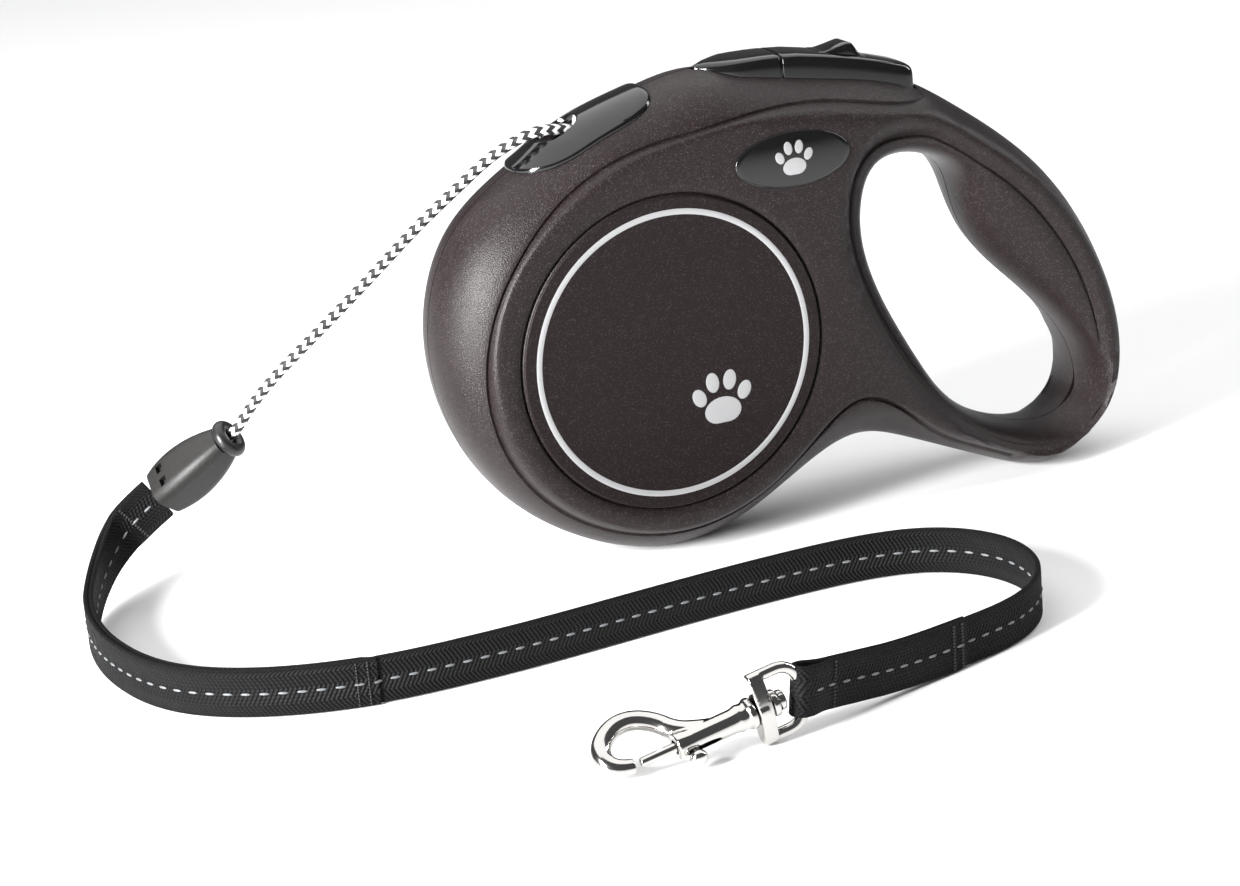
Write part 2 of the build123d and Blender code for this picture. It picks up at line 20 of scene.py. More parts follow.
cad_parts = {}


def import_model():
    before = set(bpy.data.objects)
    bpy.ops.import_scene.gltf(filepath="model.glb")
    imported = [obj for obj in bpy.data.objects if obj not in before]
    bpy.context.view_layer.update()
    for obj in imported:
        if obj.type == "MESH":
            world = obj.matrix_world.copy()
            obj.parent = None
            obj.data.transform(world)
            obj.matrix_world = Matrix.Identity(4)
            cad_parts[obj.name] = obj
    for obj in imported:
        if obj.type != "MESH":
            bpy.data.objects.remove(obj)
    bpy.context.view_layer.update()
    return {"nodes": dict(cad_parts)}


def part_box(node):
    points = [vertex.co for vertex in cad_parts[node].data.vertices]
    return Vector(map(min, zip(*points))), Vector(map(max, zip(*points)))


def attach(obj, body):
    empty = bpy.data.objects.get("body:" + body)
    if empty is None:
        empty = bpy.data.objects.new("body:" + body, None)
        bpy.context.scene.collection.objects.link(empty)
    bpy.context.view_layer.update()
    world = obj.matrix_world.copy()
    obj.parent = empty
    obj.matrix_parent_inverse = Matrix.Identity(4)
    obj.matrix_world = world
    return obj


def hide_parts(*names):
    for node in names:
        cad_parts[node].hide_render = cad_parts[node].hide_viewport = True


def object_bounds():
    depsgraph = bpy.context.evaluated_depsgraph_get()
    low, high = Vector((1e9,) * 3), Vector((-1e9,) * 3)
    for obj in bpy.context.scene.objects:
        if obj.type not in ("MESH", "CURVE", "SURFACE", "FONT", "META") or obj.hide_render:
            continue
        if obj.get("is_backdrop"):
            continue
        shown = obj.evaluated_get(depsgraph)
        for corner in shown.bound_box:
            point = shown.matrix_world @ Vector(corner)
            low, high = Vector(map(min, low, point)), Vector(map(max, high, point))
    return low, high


log = logging.getLogger("leash")
MM = 0.001
Array = np.ndarray

# ---- outlines of the case in its side view: x from the reel's axis, z from the floor ---------
CASE_OUTLINE = [(-29.5, 108.2), (-49, 93.2), (-58.5, 68), (-56.5, 47), (-44, 23), (-22, 5.8), (0, -0.4),
                (22.3, 4.2), (41.2, 14.3), (55, 19), (72, 14.5), (97.3, 3.2), (110, -0.4), (124.2, 5),
                (133.6, 15), (137.1, 31), (132, 56), (115.7, 83.3), (92, 103.4), (77, 112.6), (52, 118.9),
                (30, 122.8), (16, 124), (4, 121.6), (-14, 116.3)]
FINGER_OPENING = [(77, 93), (66, 91.7), (61.2, 82), (62.3, 66), (72, 43.4), (80.4, 29.1), (90, 19.6),
                  (101, 13.5), (111, 10.8), (119.5, 11.6), (125.6, 17), (126, 24.5), (122.6, 33.8),
                  (108.2, 51.3), (93.8, 68.7), (90.2, 79), (87.6, 87)]
GRIP_LINE = [(73.1, 100.1), (62.3, 98.7), (57.3, 93.8), (54.8, 86.5), (54.4, 76.4), (56.9, 65.1),
             (64.6, 47.5), (73.8, 32.4), (83.6, 20.5), (94.8, 12.3), (104.5, 8.5), (113.5, 8.4),
             (121.2, 12.8), (125.9, 21.1), (126.9, 30), (125.7, 39.7), (121.3, 54), (113.7, 67.9),
             (102.2, 81.7), (90.8, 91), (83.1, 96.6), (77.7, 99.3)]
PANEL_TOP = [(-10, 107.9), (10, 111.9), (30, 113.9), (50, 112.9), (70, 108.9), (80, 108.6), (88, 113)]
PANEL_FOOT = [(100, 6), (92, 9.6), (75, 18.9), (62, 29.9), (52, 33.4), (44, 29.9)]
SCREWS = [(84.5, 98.5), (107, 81), (122, 52), (48.5, 27), (10, 114.5)]

# ---- routes of the cord and the webbing, whole-model millimetres --------------------------------
CORD_ROUTE = [(-53.3, 0, 113.67), (-58.6, -1.5, 114.9), (-64.4, -1.9, 115.5), (-70.2, -0.6, 113.4),
              (-76.4, 2.0, 109.6), (-85.4, 4.5, 102.3), (-95.2, 8.5, 93.6), (-104.8, 12.8, 83.7),
              (-114.4, 17.0, 74.2), (-123.6, 21.4, 65.2), (-132.2, 25.8, 56.6), (-138.6, 29.4, 48.6),
              (-142.6, 31.8, 42.0), (-147.9, 35.17, 37.37)]
STRAP_ROUTE = [(-162.3, 44.2, 24.7), (-169.6, 46.2, 19.2), (-176.4, 43.4, 13.7), (-181.9, 36.8, 9.3),
               (-186.2, 27.2, 7.0), (-189.8, 15.2, 6.3), (-191.7, 0.6, 6.3), (-191.2, -14.2, 6.3),
               (-187.5, -30.6, 6.3), (-180.3, -43.4, 6.3), (-168.2, -53.2, 6.3), (-153.0, -60.0, 6.3),
               (-134.6, -64.0, 6.3), (-107.4, -63.8, 6.3), (-88.6, -62.3, 6.3), (-65.3, -59.8, 6.3),
               (-38.0, -57.6, 6.3), (-13.0, -57.1, 6.3), (1.4, -59.5, 6.3), (10.4, -64.0, 6.3),
               (17.2, -70.8, 6.3), (21.4, -80.4, 6.3), (21.6, -91.4, 6.3), (17.6, -102.2, 6.3),
               (10.4, -110.6, 6.3), (0.4, -116.4, 6.3), (-12.4, -120.0, 6.3), (-33.1, -126.0, 7.1),
               (-49.0, -130.8, 9.5), (-62.1, -134.8, 11.4)]


class Body(Enum):
    """The frame's moving bodies."""

    CASE = "case"
    REEL = "reel"
    BUTTON = "button"
    SLIDER = "slider"
    EYE = "eye"
    SNAP = "snap"
    BOLT = "bolt"


class Surface(Enum):
    """How a finish gets its colour and relief."""

    MOULDED = "moulded"
    METAL = "metal"
    WEAVE = "weave"
    BRAID = "braid"


# ---- meshes -------------------------------------------------------------------------------------
def new_mesh(name: str, verts: Iterable, faces: Iterable) -> bpy.types.Object:
    """Links a mesh object at the origin.

    Args:
        name: Name of the object and its mesh.
        verts: Corner positions in metres.
        faces: Corner indices of each face.

    Returns:
        The new object.
    """
    mesh = bpy.data.meshes.new(name)
    mesh.from_pydata([tuple(map(float, v)) for v in verts], [], [tuple(map(int, f)) for f in faces])
    mesh.update()
    piece = bpy.data.objects.new(name, mesh)
    bpy.context.scene.collection.objects.link(piece)
    return piece


def grid_mesh(name: str, rows: Array, along: Array | None = None, closed: bool = True,
              capped: bool = True) -> bpy.types.Object:
    """Joins rows of points into a skin with a UV map: u round the row, v along the rows in metres.

    Args:
        name: Name of the object.
        rows: Points in millimetres, rows x columns x 3.
        along: Distance of each row in millimetres; the row's number if left out.
        closed: Whether the last column joins the first.
        capped: Whether the first and last rows are closed with a face.

    Returns:
        The new object, with faces turned outwards when it is closed.
    """
    count, width = rows.shape[:2]
    along = np.arange(count) if along is None else along
    faces, uvs = [], []
    for r in range(count - 1):
        for c in range(width if closed else width - 1):
            d = (c + 1) % width
            faces.append((r * width + c, r * width + d, (r + 1) * width + d, (r + 1) * width + c))
            low, high = along[r] * MM, along[r + 1] * MM
            uvs += [(c / width, low), ((c + 1) / width, low), ((c + 1) / width, high), (c / width, high)]
    if capped:
        for first, end in ((0, 0), ((count - 1) * width, -1)):
            faces.append(tuple(first + i for i in range(width)))
            uvs += [(i / width, along[end] * MM) for i in range(width)]
    piece = new_mesh(name, rows.reshape(-1, 3) * MM, faces)
    layer = piece.data.uv_layers.new(name="UVMap")
    layer.data.foreach_set("uv", np.array(uvs, dtype=np.float32).ravel())
    if closed:
        face_out(piece)
    return piece


def face_out(piece: bpy.types.Object) -> None:
    """Turns the faces of a closed mesh outwards.

    Args:
        piece: The piece.
    """
    bm = bmesh.new()
    bm.from_mesh(piece.data)
    bmesh.ops.recalc_face_normals(bm, faces=bm.faces)
    bm.to_mesh(piece.data)
    bm.free()


def with_modifier(piece: bpy.types.Object, kind: str, **settings) -> bpy.types.Object:
    """Runs one modifier and keeps its result as the piece's plain mesh.

    Args:
        piece: Object to change.
        kind: Modifier type, such as "SOLIDIFY".
        **settings: Modifier properties.

    Returns:
        The same object.
    """
    modifier = piece.modifiers.new(kind.title(), kind)
    for key, value in settings.items():
        setattr(modifier, key, value)
    return make_plain(piece)


def make_plain(piece: bpy.types.Object) -> bpy.types.Object:
    """Replaces the piece's mesh by its evaluated one and removes its modifiers.

    Args:
        piece: Object with modifiers.

    Returns:
        The same object.
    """
    scene_graph = bpy.context.evaluated_depsgraph_get()
    scene_graph.update()
    mesh = bpy.data.meshes.new_from_object(piece.evaluated_get(scene_graph))
    piece.modifiers.clear()
    piece.data = mesh
    return piece


def cut(piece: bpy.types.Object, *cutters: bpy.types.Object) -> bpy.types.Object:
    """Takes the cutters out of the piece and deletes them.

    Args:
        piece: The piece to cut.
        *cutters: Closed shapes.

    Returns:
        The same piece.
    """
    for cutter in cutters:
        with_modifier(piece, "BOOLEAN", operation="DIFFERENCE", object=cutter, solver="EXACT")
        bpy.data.objects.remove(cutter)
    return piece


def merge(name: str, pieces: Sequence[bpy.types.Object]) -> bpy.types.Object:
    """Joins pieces into one object and deletes them.

    Args:
        name: Name of the joined object.
        pieces: What to join.

    Returns:
        The joined object.
    """
    bm = bmesh.new()
    for piece in pieces:
        bm.from_mesh(piece.data)
        bpy.data.objects.remove(piece)
    mesh = bpy.data.meshes.new(name)
    bm.to_mesh(mesh)
    bm.free()
    joined = bpy.data.objects.new(name, mesh)
    bpy.context.scene.collection.objects.link(joined)
    return joined


def cast(piece: bpy.types.Object, voxel: float, rounds: int) -> bpy.types.Object:
    """Runs overlapping closed shapes together as one soft-edged casting.

    Args:
        piece: Overlapping closed shapes.
        voxel: Cell size in millimetres.
        rounds: Smoothing rounds.

    Returns:
        The same object.
    """
    with_modifier(piece, "REMESH", mode="VOXEL", voxel_size=voxel * MM)
    return with_modifier(piece, "SMOOTH", factor=0.5, iterations=rounds)


def lathe(name: str, profile: Sequence[tuple[float, float]], place: Matrix,
          sides: int = 40) -> bpy.types.Object:
    """Turns a profile of (radius, height) about local z and puts it in place.

    Args:
        name: Name of the object.
        profile: Radius and height of each ring, in millimetres.
        place: Local to whole-model transform.
        sides: Points round each ring.

    Returns:
        A closed piece.
    """
    turn = np.linspace(0, 2 * math.pi, sides, endpoint=False)
    rows = np.array([[(r * math.cos(a), r * math.sin(a), h) for a in turn] for r, h in profile])
    return grid_mesh(name, put(rows, place))


def put(points: Array, place: Matrix) -> Array:
    """Points (millimetres) moved by a transform."""
    matrix = np.array(place)
    return points @ matrix[:3, :3].T + matrix[:3, 3]


def swept(name: str, line: Array, radii: Array, sides: int = 24, flat: float = 1.0,
          normal: Vector | None = None) -> bpy.types.Object:
    """A round bar of changing radius along a line.

    Args:
        name: Name of the object.
        line: Centre points in millimetres.
        radii: Radius at each point.
        sides: Points round each ring.
        flat: Size along the line's fixed normal, as a share of the radius.
        normal: Fixed direction across a flat line; a carried one if left out.

    Returns:
        A closed piece.
    """
    rows = []
    side = None
    turn = np.linspace(0, 2 * math.pi, sides, endpoint=False)[:, None]
    for i, here in enumerate(line):
        ahead = Vector(line[min(i + 1, len(line) - 1)] - line[max(i - 1, 0)]).normalized()
        if normal is not None:
            side = normal
        elif side is None:
            side = ahead.orthogonal().normalized()
        side = (side - ahead * side.dot(ahead)).normalized()
        up = ahead.cross(side)
        rows.append(here + radii[i] * (np.array(up) * np.cos(turn) + np.array(side) * flat * np.sin(turn)))
    steps = np.linalg.norm(np.diff(line, axis=0), axis=1)
    return grid_mesh(name, np.array(rows), np.concatenate([[0], np.cumsum(steps)]))


def route_points(name: str, route: Sequence[tuple[float, float, float]], per_span: int = 24) -> Array:
    """Points along the smooth NURBS line whose control points are the route's.

    Args:
        name: Name for the scratch curve.
        route: Control points in millimetres.
        per_span: Points for each span.

    Returns:
        Points in millimetres, in order.
    """
    curve = bpy.data.curves.new(name, "CURVE")
    curve.dimensions = "3D"
    spline = curve.splines.new("NURBS")
    spline.points.add(len(route) - 1)
    for point, at in zip(spline.points, route):
        point.co = (*(c * MM for c in at), 1)
    spline.order_u = 3
    spline.use_endpoint_u = True
    curve.resolution_u = per_span
    scratch = bpy.data.objects.new(name, curve)
    bpy.context.scene.collection.objects.link(scratch)
    mesh = bpy.data.meshes.new_from_object(scratch)
    points = np.array([v.co for v in mesh.vertices]) / MM
    bpy.data.objects.remove(scratch)
    bpy.data.meshes.remove(mesh)
    return points


def evenly(points: Array, step: float) -> tuple[Array, Array]:
    """Resamples a line at even steps.

    Args:
        points: The line's points.
        step: Wanted distance between points.

    Returns:
        The new points, and the distance of each along the line.
    """
    lengths = np.concatenate([[0], np.cumsum(np.linalg.norm(np.diff(points, axis=0), axis=1))])
    count = max(int(round(lengths[-1] / step)), 2)
    along = np.linspace(0, lengths[-1], count + 1)
    return np.stack([np.interp(along, lengths, points[:, i]) for i in range(points.shape[1])], axis=1), along


def rounded(points: Sequence, rounds: int = 3, closed: bool = True) -> Array:
    """Cuts the corners of a line of points again and again, so that they become soft.

    Args:
        points: Corners in order.
        rounds: How often the corners are cut.
        closed: Whether the last corner joins the first.

    Returns:
        The softened points.
    """
    line = np.array(points, dtype=float)
    for _ in range(rounds):
        ahead = np.roll(line, -1, axis=0)
        pairs = np.stack([0.75 * line + 0.25 * ahead, 0.25 * line + 0.75 * ahead], axis=1)
        if closed:
            line = pairs.reshape(-1, line.shape[1])
        else:
            line = np.concatenate([line[:1], pairs[:-1].reshape(-1, line.shape[1]), line[-1:]])
    return line


# ---- finishes -----------------------------------------------------------------------------------
class Nodes:
    """Short hand for adding nodes to one tree and joining them."""

    def __init__(self, tree: bpy.types.NodeTree) -> None:
        """Keeps the tree."""
        self.tree = tree

    def add(self, kind: str, **inputs) -> bpy.types.Node:
        """Adds a node; each keyword is a property, or an input with its spaces as underscores.

        Args:
            kind: Node type.
            **inputs: Values, or sockets to link from.

        Returns:
            The node.
        """
        node = self.tree.nodes.new(kind)
        for key, value in inputs.items():
            if hasattr(node, key):
                setattr(node, key, value)
        for key, value in inputs.items():
            if not hasattr(node, key):
                self.feed(node.inputs[int(key[1:]) if key[1:].isdigit() else key.replace("_", " ")], value)
        return node

    def feed(self, socket: bpy.types.NodeSocket, value: object) -> None:
        """Links a socket into another, or sets its value.

        Args:
            socket: The input.
            value: A socket, or a plain value.
        """
        if isinstance(value, bpy.types.NodeSocket):
            self.tree.links.new(value, socket)
        else:
            socket.default_value = value

    def sum(self, operation: str, a: object, b: object = 0.0, clamp: bool = False) -> bpy.types.NodeSocket:
        """One Math node's value."""
        return self.add("ShaderNodeMath", operation=operation, use_clamp=clamp, i0=a, i1=b).outputs[0]

    def ramp(self, value: object, low: float, high: float, start: float = 0.0,
             end: float = 1.0) -> bpy.types.NodeSocket:
        """Maps a value from one range to another, held at the ends."""
        return self.add("ShaderNodeMapRange", Value=value, From_Min=low, From_Max=high,
                        To_Min=start, To_Max=end).outputs[0]

    def mix(self, share: object, a: object, b: object) -> bpy.types.NodeSocket:
        """Mixes two colours.

        Args:
            share: How much of the second is in the mix.
            a: First colour.
            b: Second colour.

        Returns:
            The mixed colour.
        """
        node = self.add("ShaderNodeMix", data_type="RGBA")
        self.feed(node.inputs[0], share)
        self.feed(node.inputs[6], a)
        self.feed(node.inputs[7], b)
        return node.outputs[2]


def shader_group(name: str, inputs: dict[str, float], outputs: Sequence[str],
                 fill: Callable[[Nodes, dict, dict], None]) -> bpy.types.NodeTree:
    """Builds a shader node group once.

    Args:
        name: Group name.
        inputs: Float inputs and their defaults.
        outputs: Float outputs.
        fill: Adds the nodes, given the group's input and output sockets.

    Returns:
        The group's tree.
    """
    if name in bpy.data.node_groups:
        return bpy.data.node_groups[name]
    tree = bpy.data.node_groups.new(name, "ShaderNodeTree")
    for key, value in inputs.items():
        tree.interface.new_socket(key, in_out="INPUT", socket_type="NodeSocketFloat").default_value = value
    for key in outputs:
        tree.interface.new_socket(key, in_out="OUTPUT", socket_type="NodeSocketFloat")
    start = tree.nodes.new("NodeGroupInput")
    end = tree.nodes.new("NodeGroupOutput")
    fill(Nodes(tree), start.outputs, end.inputs)
    return tree


def fill_grain(n: Nodes, given: dict, out: dict) -> None:
    """Moulded grain: fine relief, bright flecks and slow smudges, from Object coordinates.

    Args:
        n: The group's nodes.
        given: The group's inputs.
        out: The group's outputs.
    """
    where = n.add("ShaderNodeTexCoord").outputs["Object"]
    fine = n.add("ShaderNodeTexNoise", Vector=where, Scale=given["Scale"], Detail=3.0).outputs[0]
    cells = n.add("ShaderNodeTexVoronoi", Vector=where, Scale=given["Scale"])
    pick = n.add("ShaderNodeSeparateColor", Color=cells.outputs["Color"]).outputs[0]
    dot = n.ramp(cells.outputs["Distance"], 0.5, 0.1)
    fleck = n.sum("MULTIPLY", n.ramp(pick, 0.55, 1.0), dot)
    smudge = n.add("ShaderNodeTexNoise", Vector=where, Scale=given["Smudge Scale"], Detail=4.0).outputs[0]
    n.feed(out["Height"], fine)
    n.feed(out["Fleck"], fleck)
    n.feed(out["Smudge"], n.ramp(smudge, 0.35, 0.7))


def fill_weave(n: Nodes, given: dict, out: dict) -> None:
    """Twill tape: slanting ribs that turn back in rows, and crossing yarns, from the UV map.

    Args:
        n: The group's nodes.
        given: The group's inputs.
        out: The group's outputs.
    """
    uv = n.add("ShaderNodeSeparateXYZ", Vector=n.add("ShaderNodeTexCoord").outputs["UV"])
    across = n.sum("MULTIPLY", uv.outputs[0], given["Width"])
    zigzag = n.sum("PINGPONG", across, given["Turn"])
    slant = n.sum("ADD", uv.outputs[1], n.sum("MULTIPLY", zigzag, given["Slope"]))
    ribs = n.sum("SINE", n.sum("MULTIPLY", slant, n.sum("DIVIDE", 2 * math.pi, given["Pitch"])))
    yarns = n.sum("SINE", n.sum("MULTIPLY", across, n.sum("DIVIDE", 2 * math.pi, given["Yarn"])))
    height = n.sum("ADD", n.sum("MULTIPLY", ribs, 0.35), n.sum("MULTIPLY", yarns, 0.15))
    n.feed(out["Height"], n.sum("ADD", height, 0.5))
    n.feed(out["Ribs"], n.ramp(ribs, 0.0, 0.3))


@dataclass(frozen=True)
class Finish:
    """A surface finish: colours, gloss, and the size and depth of its relief."""

    name: str
    color: tuple[float, float, float]
    roughness: float
    surface: Surface = Surface.MOULDED
    second: tuple[float, float, float] = (0.3, 0.3, 0.3)
    metallic: float = 0.0
    grain: float = 1500.0
    bump: float = 0.15
    fleck: float = 0.0
    sheen: float = 0.0
    specular: float = 0.5

    def material(self) -> bpy.types.Material:
        """The finish's material, made the first time that it is asked for.

        Returns:
            A node material.
        """
        if self.name in bpy.data.materials:
            return bpy.data.materials[self.name]
        material = bpy.data.materials.new(self.name)
        material.use_nodes = True
        n = Nodes(material.node_tree)
        shader = material.node_tree.nodes["Principled BSDF"]
        shader.inputs["Metallic"].default_value = self.metallic
        shader.inputs["Sheen Weight"].default_value = self.sheen
        shader.inputs["Specular IOR Level"].default_value = self.specular
        tree = shader_group("Surface grain", {"Scale": 1500, "Smudge Scale": 30},
                            ["Height", "Fleck", "Smudge"], fill_grain)
        grain = n.add("ShaderNodeGroup", node_tree=tree, Scale=self.grain, Smudge_Scale=35.0)
        height, mask = grain.outputs["Height"], n.sum("MULTIPLY", grain.outputs["Fleck"], self.fleck)
        if self.surface in (Surface.WEAVE, Surface.BRAID):
            tree = shader_group("Woven yarn", {"Width": 0.026, "Turn": 0.003, "Slope": 1.0, "Pitch": 0.001,
                                               "Yarn": 0.0008}, ["Height", "Ribs"], fill_weave)
            sizes = WEAVE_SIZES[self.surface]
            weave = n.add("ShaderNodeGroup", node_tree=tree, **sizes)
            height = n.sum("ADD", weave.outputs["Height"], n.sum("MULTIPLY", height, 0.5))
            # For woven tape the second colour follows the weave's height: painted sheen on the rib crests and
            # painted shade in the grooves. For braid it is the cord's white yarn pattern.
            mask = weave.outputs["Ribs"] if self.surface is Surface.BRAID else n.sum(
                "MULTIPLY", weave.outputs["Height"], 0.6)
        tone = n.mix(n.sum("MULTIPLY", grain.outputs["Smudge"], 0.25), (*self.color, 1),
                     (*(c * 0.72 for c in self.color), 1))
        n.feed(shader.inputs["Base Color"], n.mix(mask, tone, (*self.second, 1)))
        rough = n.ramp(grain.outputs["Smudge"], 0, 1, self.roughness * 0.9, min(self.roughness * 1.15, 1))
        n.feed(shader.inputs["Roughness"], rough)
        bump = n.add("ShaderNodeBump", Strength=self.bump, Distance=0.0003, Height=height)
        n.feed(shader.inputs["Normal"], bump.outputs[0])
        return material


WEAVE_SIZES = {
    Surface.WEAVE: {"Width": 0.0264, "Turn": 0.0022, "Slope": 0.9, "Pitch": 0.0011, "Yarn": 0.00055},
    Surface.BRAID: {"Width": 0.0088, "Turn": 0.0011, "Slope": 1.15, "Pitch": 0.0031, "Yarn": 0.0011},
}
CASE_BLACK = Finish("Case, satin black", (0.0115, 0.0074, 0.0077), 0.36, second=(0.13, 0.115, 0.112),
                    grain=3000, bump=0.5, fleck=0.6, specular=0.23)
DISC_BLACK = Finish("Disc, satin black", (0.0095, 0.0060, 0.0064), 0.42, second=(0.09, 0.075, 0.075),
                    grain=3000, bump=0.4, fleck=0.6, specular=0.15)
GLOSS_BLACK = Finish("Polished black", (0.004, 0.004, 0.0042), 0.10, grain=300, bump=0.01)
SILVER_FOIL = Finish("Silver foil", (0.34, 0.34, 0.345), 0.38, surface=Surface.METAL, metallic=0.3, grain=1800,
                     bump=0.04)
STOPPER_BLACK = Finish("Stopper, matte black", (0.010, 0.0095, 0.009), 0.48, grain=2400, bump=0.2,
                       second=(0.06, 0.06, 0.06), fleck=0.4, specular=0.35)
RUBBER_BLACK = Finish("Rubber ring", (0.008, 0.008, 0.008), 0.36, grain=700, bump=0.06)
NICKEL = Finish("Polished nickel", (0.46, 0.45, 0.435), 0.12, surface=Surface.METAL, metallic=1.0, grain=260,
                bump=0.02, second=(0.5, 0.5, 0.5))
STEEL = Finish("Turned steel", (0.56, 0.56, 0.57), 0.32, surface=Surface.METAL, metallic=1.0, grain=900)
SPRING_STEEL = Finish("Spring steel", (0.30, 0.31, 0.34), 0.3, surface=Surface.METAL, metallic=1.0, grain=900)
NYLON = Finish("Natural nylon", (0.60, 0.59, 0.55), 0.45, grain=900, bump=0.1)
BUSH = Finish("Bush, slippery white", (0.70, 0.70, 0.66), 0.3, grain=900, bump=0.05)
# The webbing's second colour is painted sheen on its rib crests, against painted shade in the grooves.
WEBBING = Finish("Black webbing", (0.0025, 0.0025, 0.0027), 0.62, surface=Surface.WEAVE,
                 second=(0.011, 0.011, 0.0115), bump=1.0, specular=0.09)
CORD_YARN = Finish("Braided cord", (0.006, 0.006, 0.006), 0.7, surface=Surface.BRAID,
                   second=(0.78, 0.78, 0.77), bump=0.6, sheen=0.05)
STITCH_GREY = Finish("Reflective thread", (0.115, 0.12, 0.125), 0.45, grain=2500, bump=0.3)
YARN_BLACK = Finish("Tie yarn", (0.007, 0.007, 0.007), 0.8, grain=3000, bump=0.8, sheen=0.05)


def hand_over(piece: bpy.types.Object, body: Body, slot: str, finish: Finish, *stands_for: str,
              sharp: float = 40.0) -> bpy.types.Object:
    """Gives a finished piece its finish and its body.

    Args:
        piece: The piece.
        body: Body that it moves with.
        slot: Name of a material slot; not used.
        finish: Finish to dress it in.
        *stands_for: CAD nodes that it replaces.
        sharp: Angle in degrees past which an edge stays sharp.

    Returns:
        The piece.
    """
    piece.data.materials.clear()
    piece.data.materials.append(finish.material())
    piece.data.shade_smooth()
    piece.data.set_sharp_from_angle(angle=math.radians(sharp))
    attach(piece, body.value)
    if stands_for:
        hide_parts(*stands_for)
    log.info("%s rides on %s", piece.name, body.value)
    return piece


# ---- case ---------------------------------------------------------------------------------------
class Line2D:
    """A smooth line in the side view, with distances to it."""

    def __init__(self, points: Array, closed: bool) -> None:
        """Keeps the line's close-set points and the unit normals on its left.

        Args:
            points: The points.
            closed: Whether the last one joins the first.
        """
        self.points = points
        self.closed = closed
        ahead = np.roll(points, -1, axis=0) - np.roll(points, 1, axis=0)
        if not closed:
            ahead[0], ahead[-1] = points[1] - points[0], points[-1] - points[-2]
        ahead /= np.linalg.norm(ahead, axis=1)[:, None]
        self.left = np.stack([-ahead[:, 1], ahead[:, 0]], axis=1)

    @classmethod
    def through(cls, corners: Sequence[tuple[float, float]], step: float, closed: bool = True) -> "Line2D":
        """A twice-smooth line through the corners.

        Args:
            corners: Points on the line.
            step: Distance between its close-set points.
            closed: Whether it comes back to its start.

        Returns:
            The line.
        """
        knots = np.array(corners, dtype=float)
        if closed:
            knots = np.vstack([knots, knots[:1]])
        span = np.linalg.norm(np.diff(knots, axis=0), axis=1)
        count = len(span)
        system, wanted = np.zeros((count + 1, count + 1)), np.zeros((count + 1, 2))
        slope = np.diff(knots, axis=0) / span[:, None]
        for i in range(1, count):
            system[i, i - 1:i + 2] = span[i - 1], 2 * (span[i - 1] + span[i]), span[i]
            wanted[i] = 6 * (slope[i] - slope[i - 1])
        if closed:
            system[0, [0, 1, count - 1]] = 2 * (span[0] + span[-1]), span[0], span[-1]
            wanted[0] = 6 * (slope[0] - slope[-1])
            system[count, [0, count]] = 1, -1
        else:
            system[0, 0] = system[count, count] = 1
        bend = np.linalg.solve(system, wanted)
        dense = []
        for i, length in enumerate(span):
            t = np.linspace(0, length, max(int(length / 0.1), 4), endpoint=False)[:, None]
            back = length - t
            dense.append(bend[i] * back ** 3 / (6 * length) + bend[i + 1] * t ** 3 / (6 * length)
                         + (knots[i] / length - bend[i] * length / 6) * back
                         + (knots[i + 1] / length - bend[i + 1] * length / 6) * t)
        points, _ = evenly(np.vstack([*dense, knots[-1:]]), step)
        return cls(points[:-1] if closed else points, closed)

    def distance(self, where: Array) -> Array:
        """Distance from each point to the line.

        Args:
            where: The points.

        Returns:
            Their distances, in millimetres.
        """
        start = self.points if self.closed else self.points[:-1]
        run = (np.roll(self.points, -1, axis=0) if self.closed else self.points[1:]) - start
        length = (run ** 2).sum(axis=1)
        nearest = []
        for part in np.array_split(where, max(len(where) // 400, 1)):
            gap = part[:, None] - start[None]
            share = np.clip((gap * run[None]).sum(axis=2) / length, 0, 1)
            nearest.append(np.sqrt(((gap - share[..., None] * run[None]) ** 2).sum(axis=2).min(axis=1)))
        return np.concatenate(nearest)

    def inside(self, where: Array) -> Array:
        """Whether each point lies inside the closed line.

        Args:
            where: The points.

        Returns:
            One truth value for each.
        """
        a, b = self.points, np.roll(self.points, -1, axis=0)
        found = np.zeros(len(where), dtype=bool)
        for (ax, az), (bx, bz) in zip(a, b):
            if az == bz:
                continue
            crosses = (az > where[:, 1]) != (bz > where[:, 1])
            found ^= crosses & (where[:, 0] < (bx - ax) * (where[:, 1] - az) / (bz - az) + ax)
        return found


def ease(share: Array | float) -> Array:
    """Smooth step from 0 to 1."""
    share = np.clip(share, 0, 1)
    return share * share * (3 - 2 * share)


def soft_min(a: Array, b: Array, blend: float) -> Array:
    """The lower of two heights, with a soft crossing."""
    share = np.clip(0.5 + 0.5 * (b - a) / blend, 0, 1)
    return b + (a - b) * share - blend * share * (1 - share)


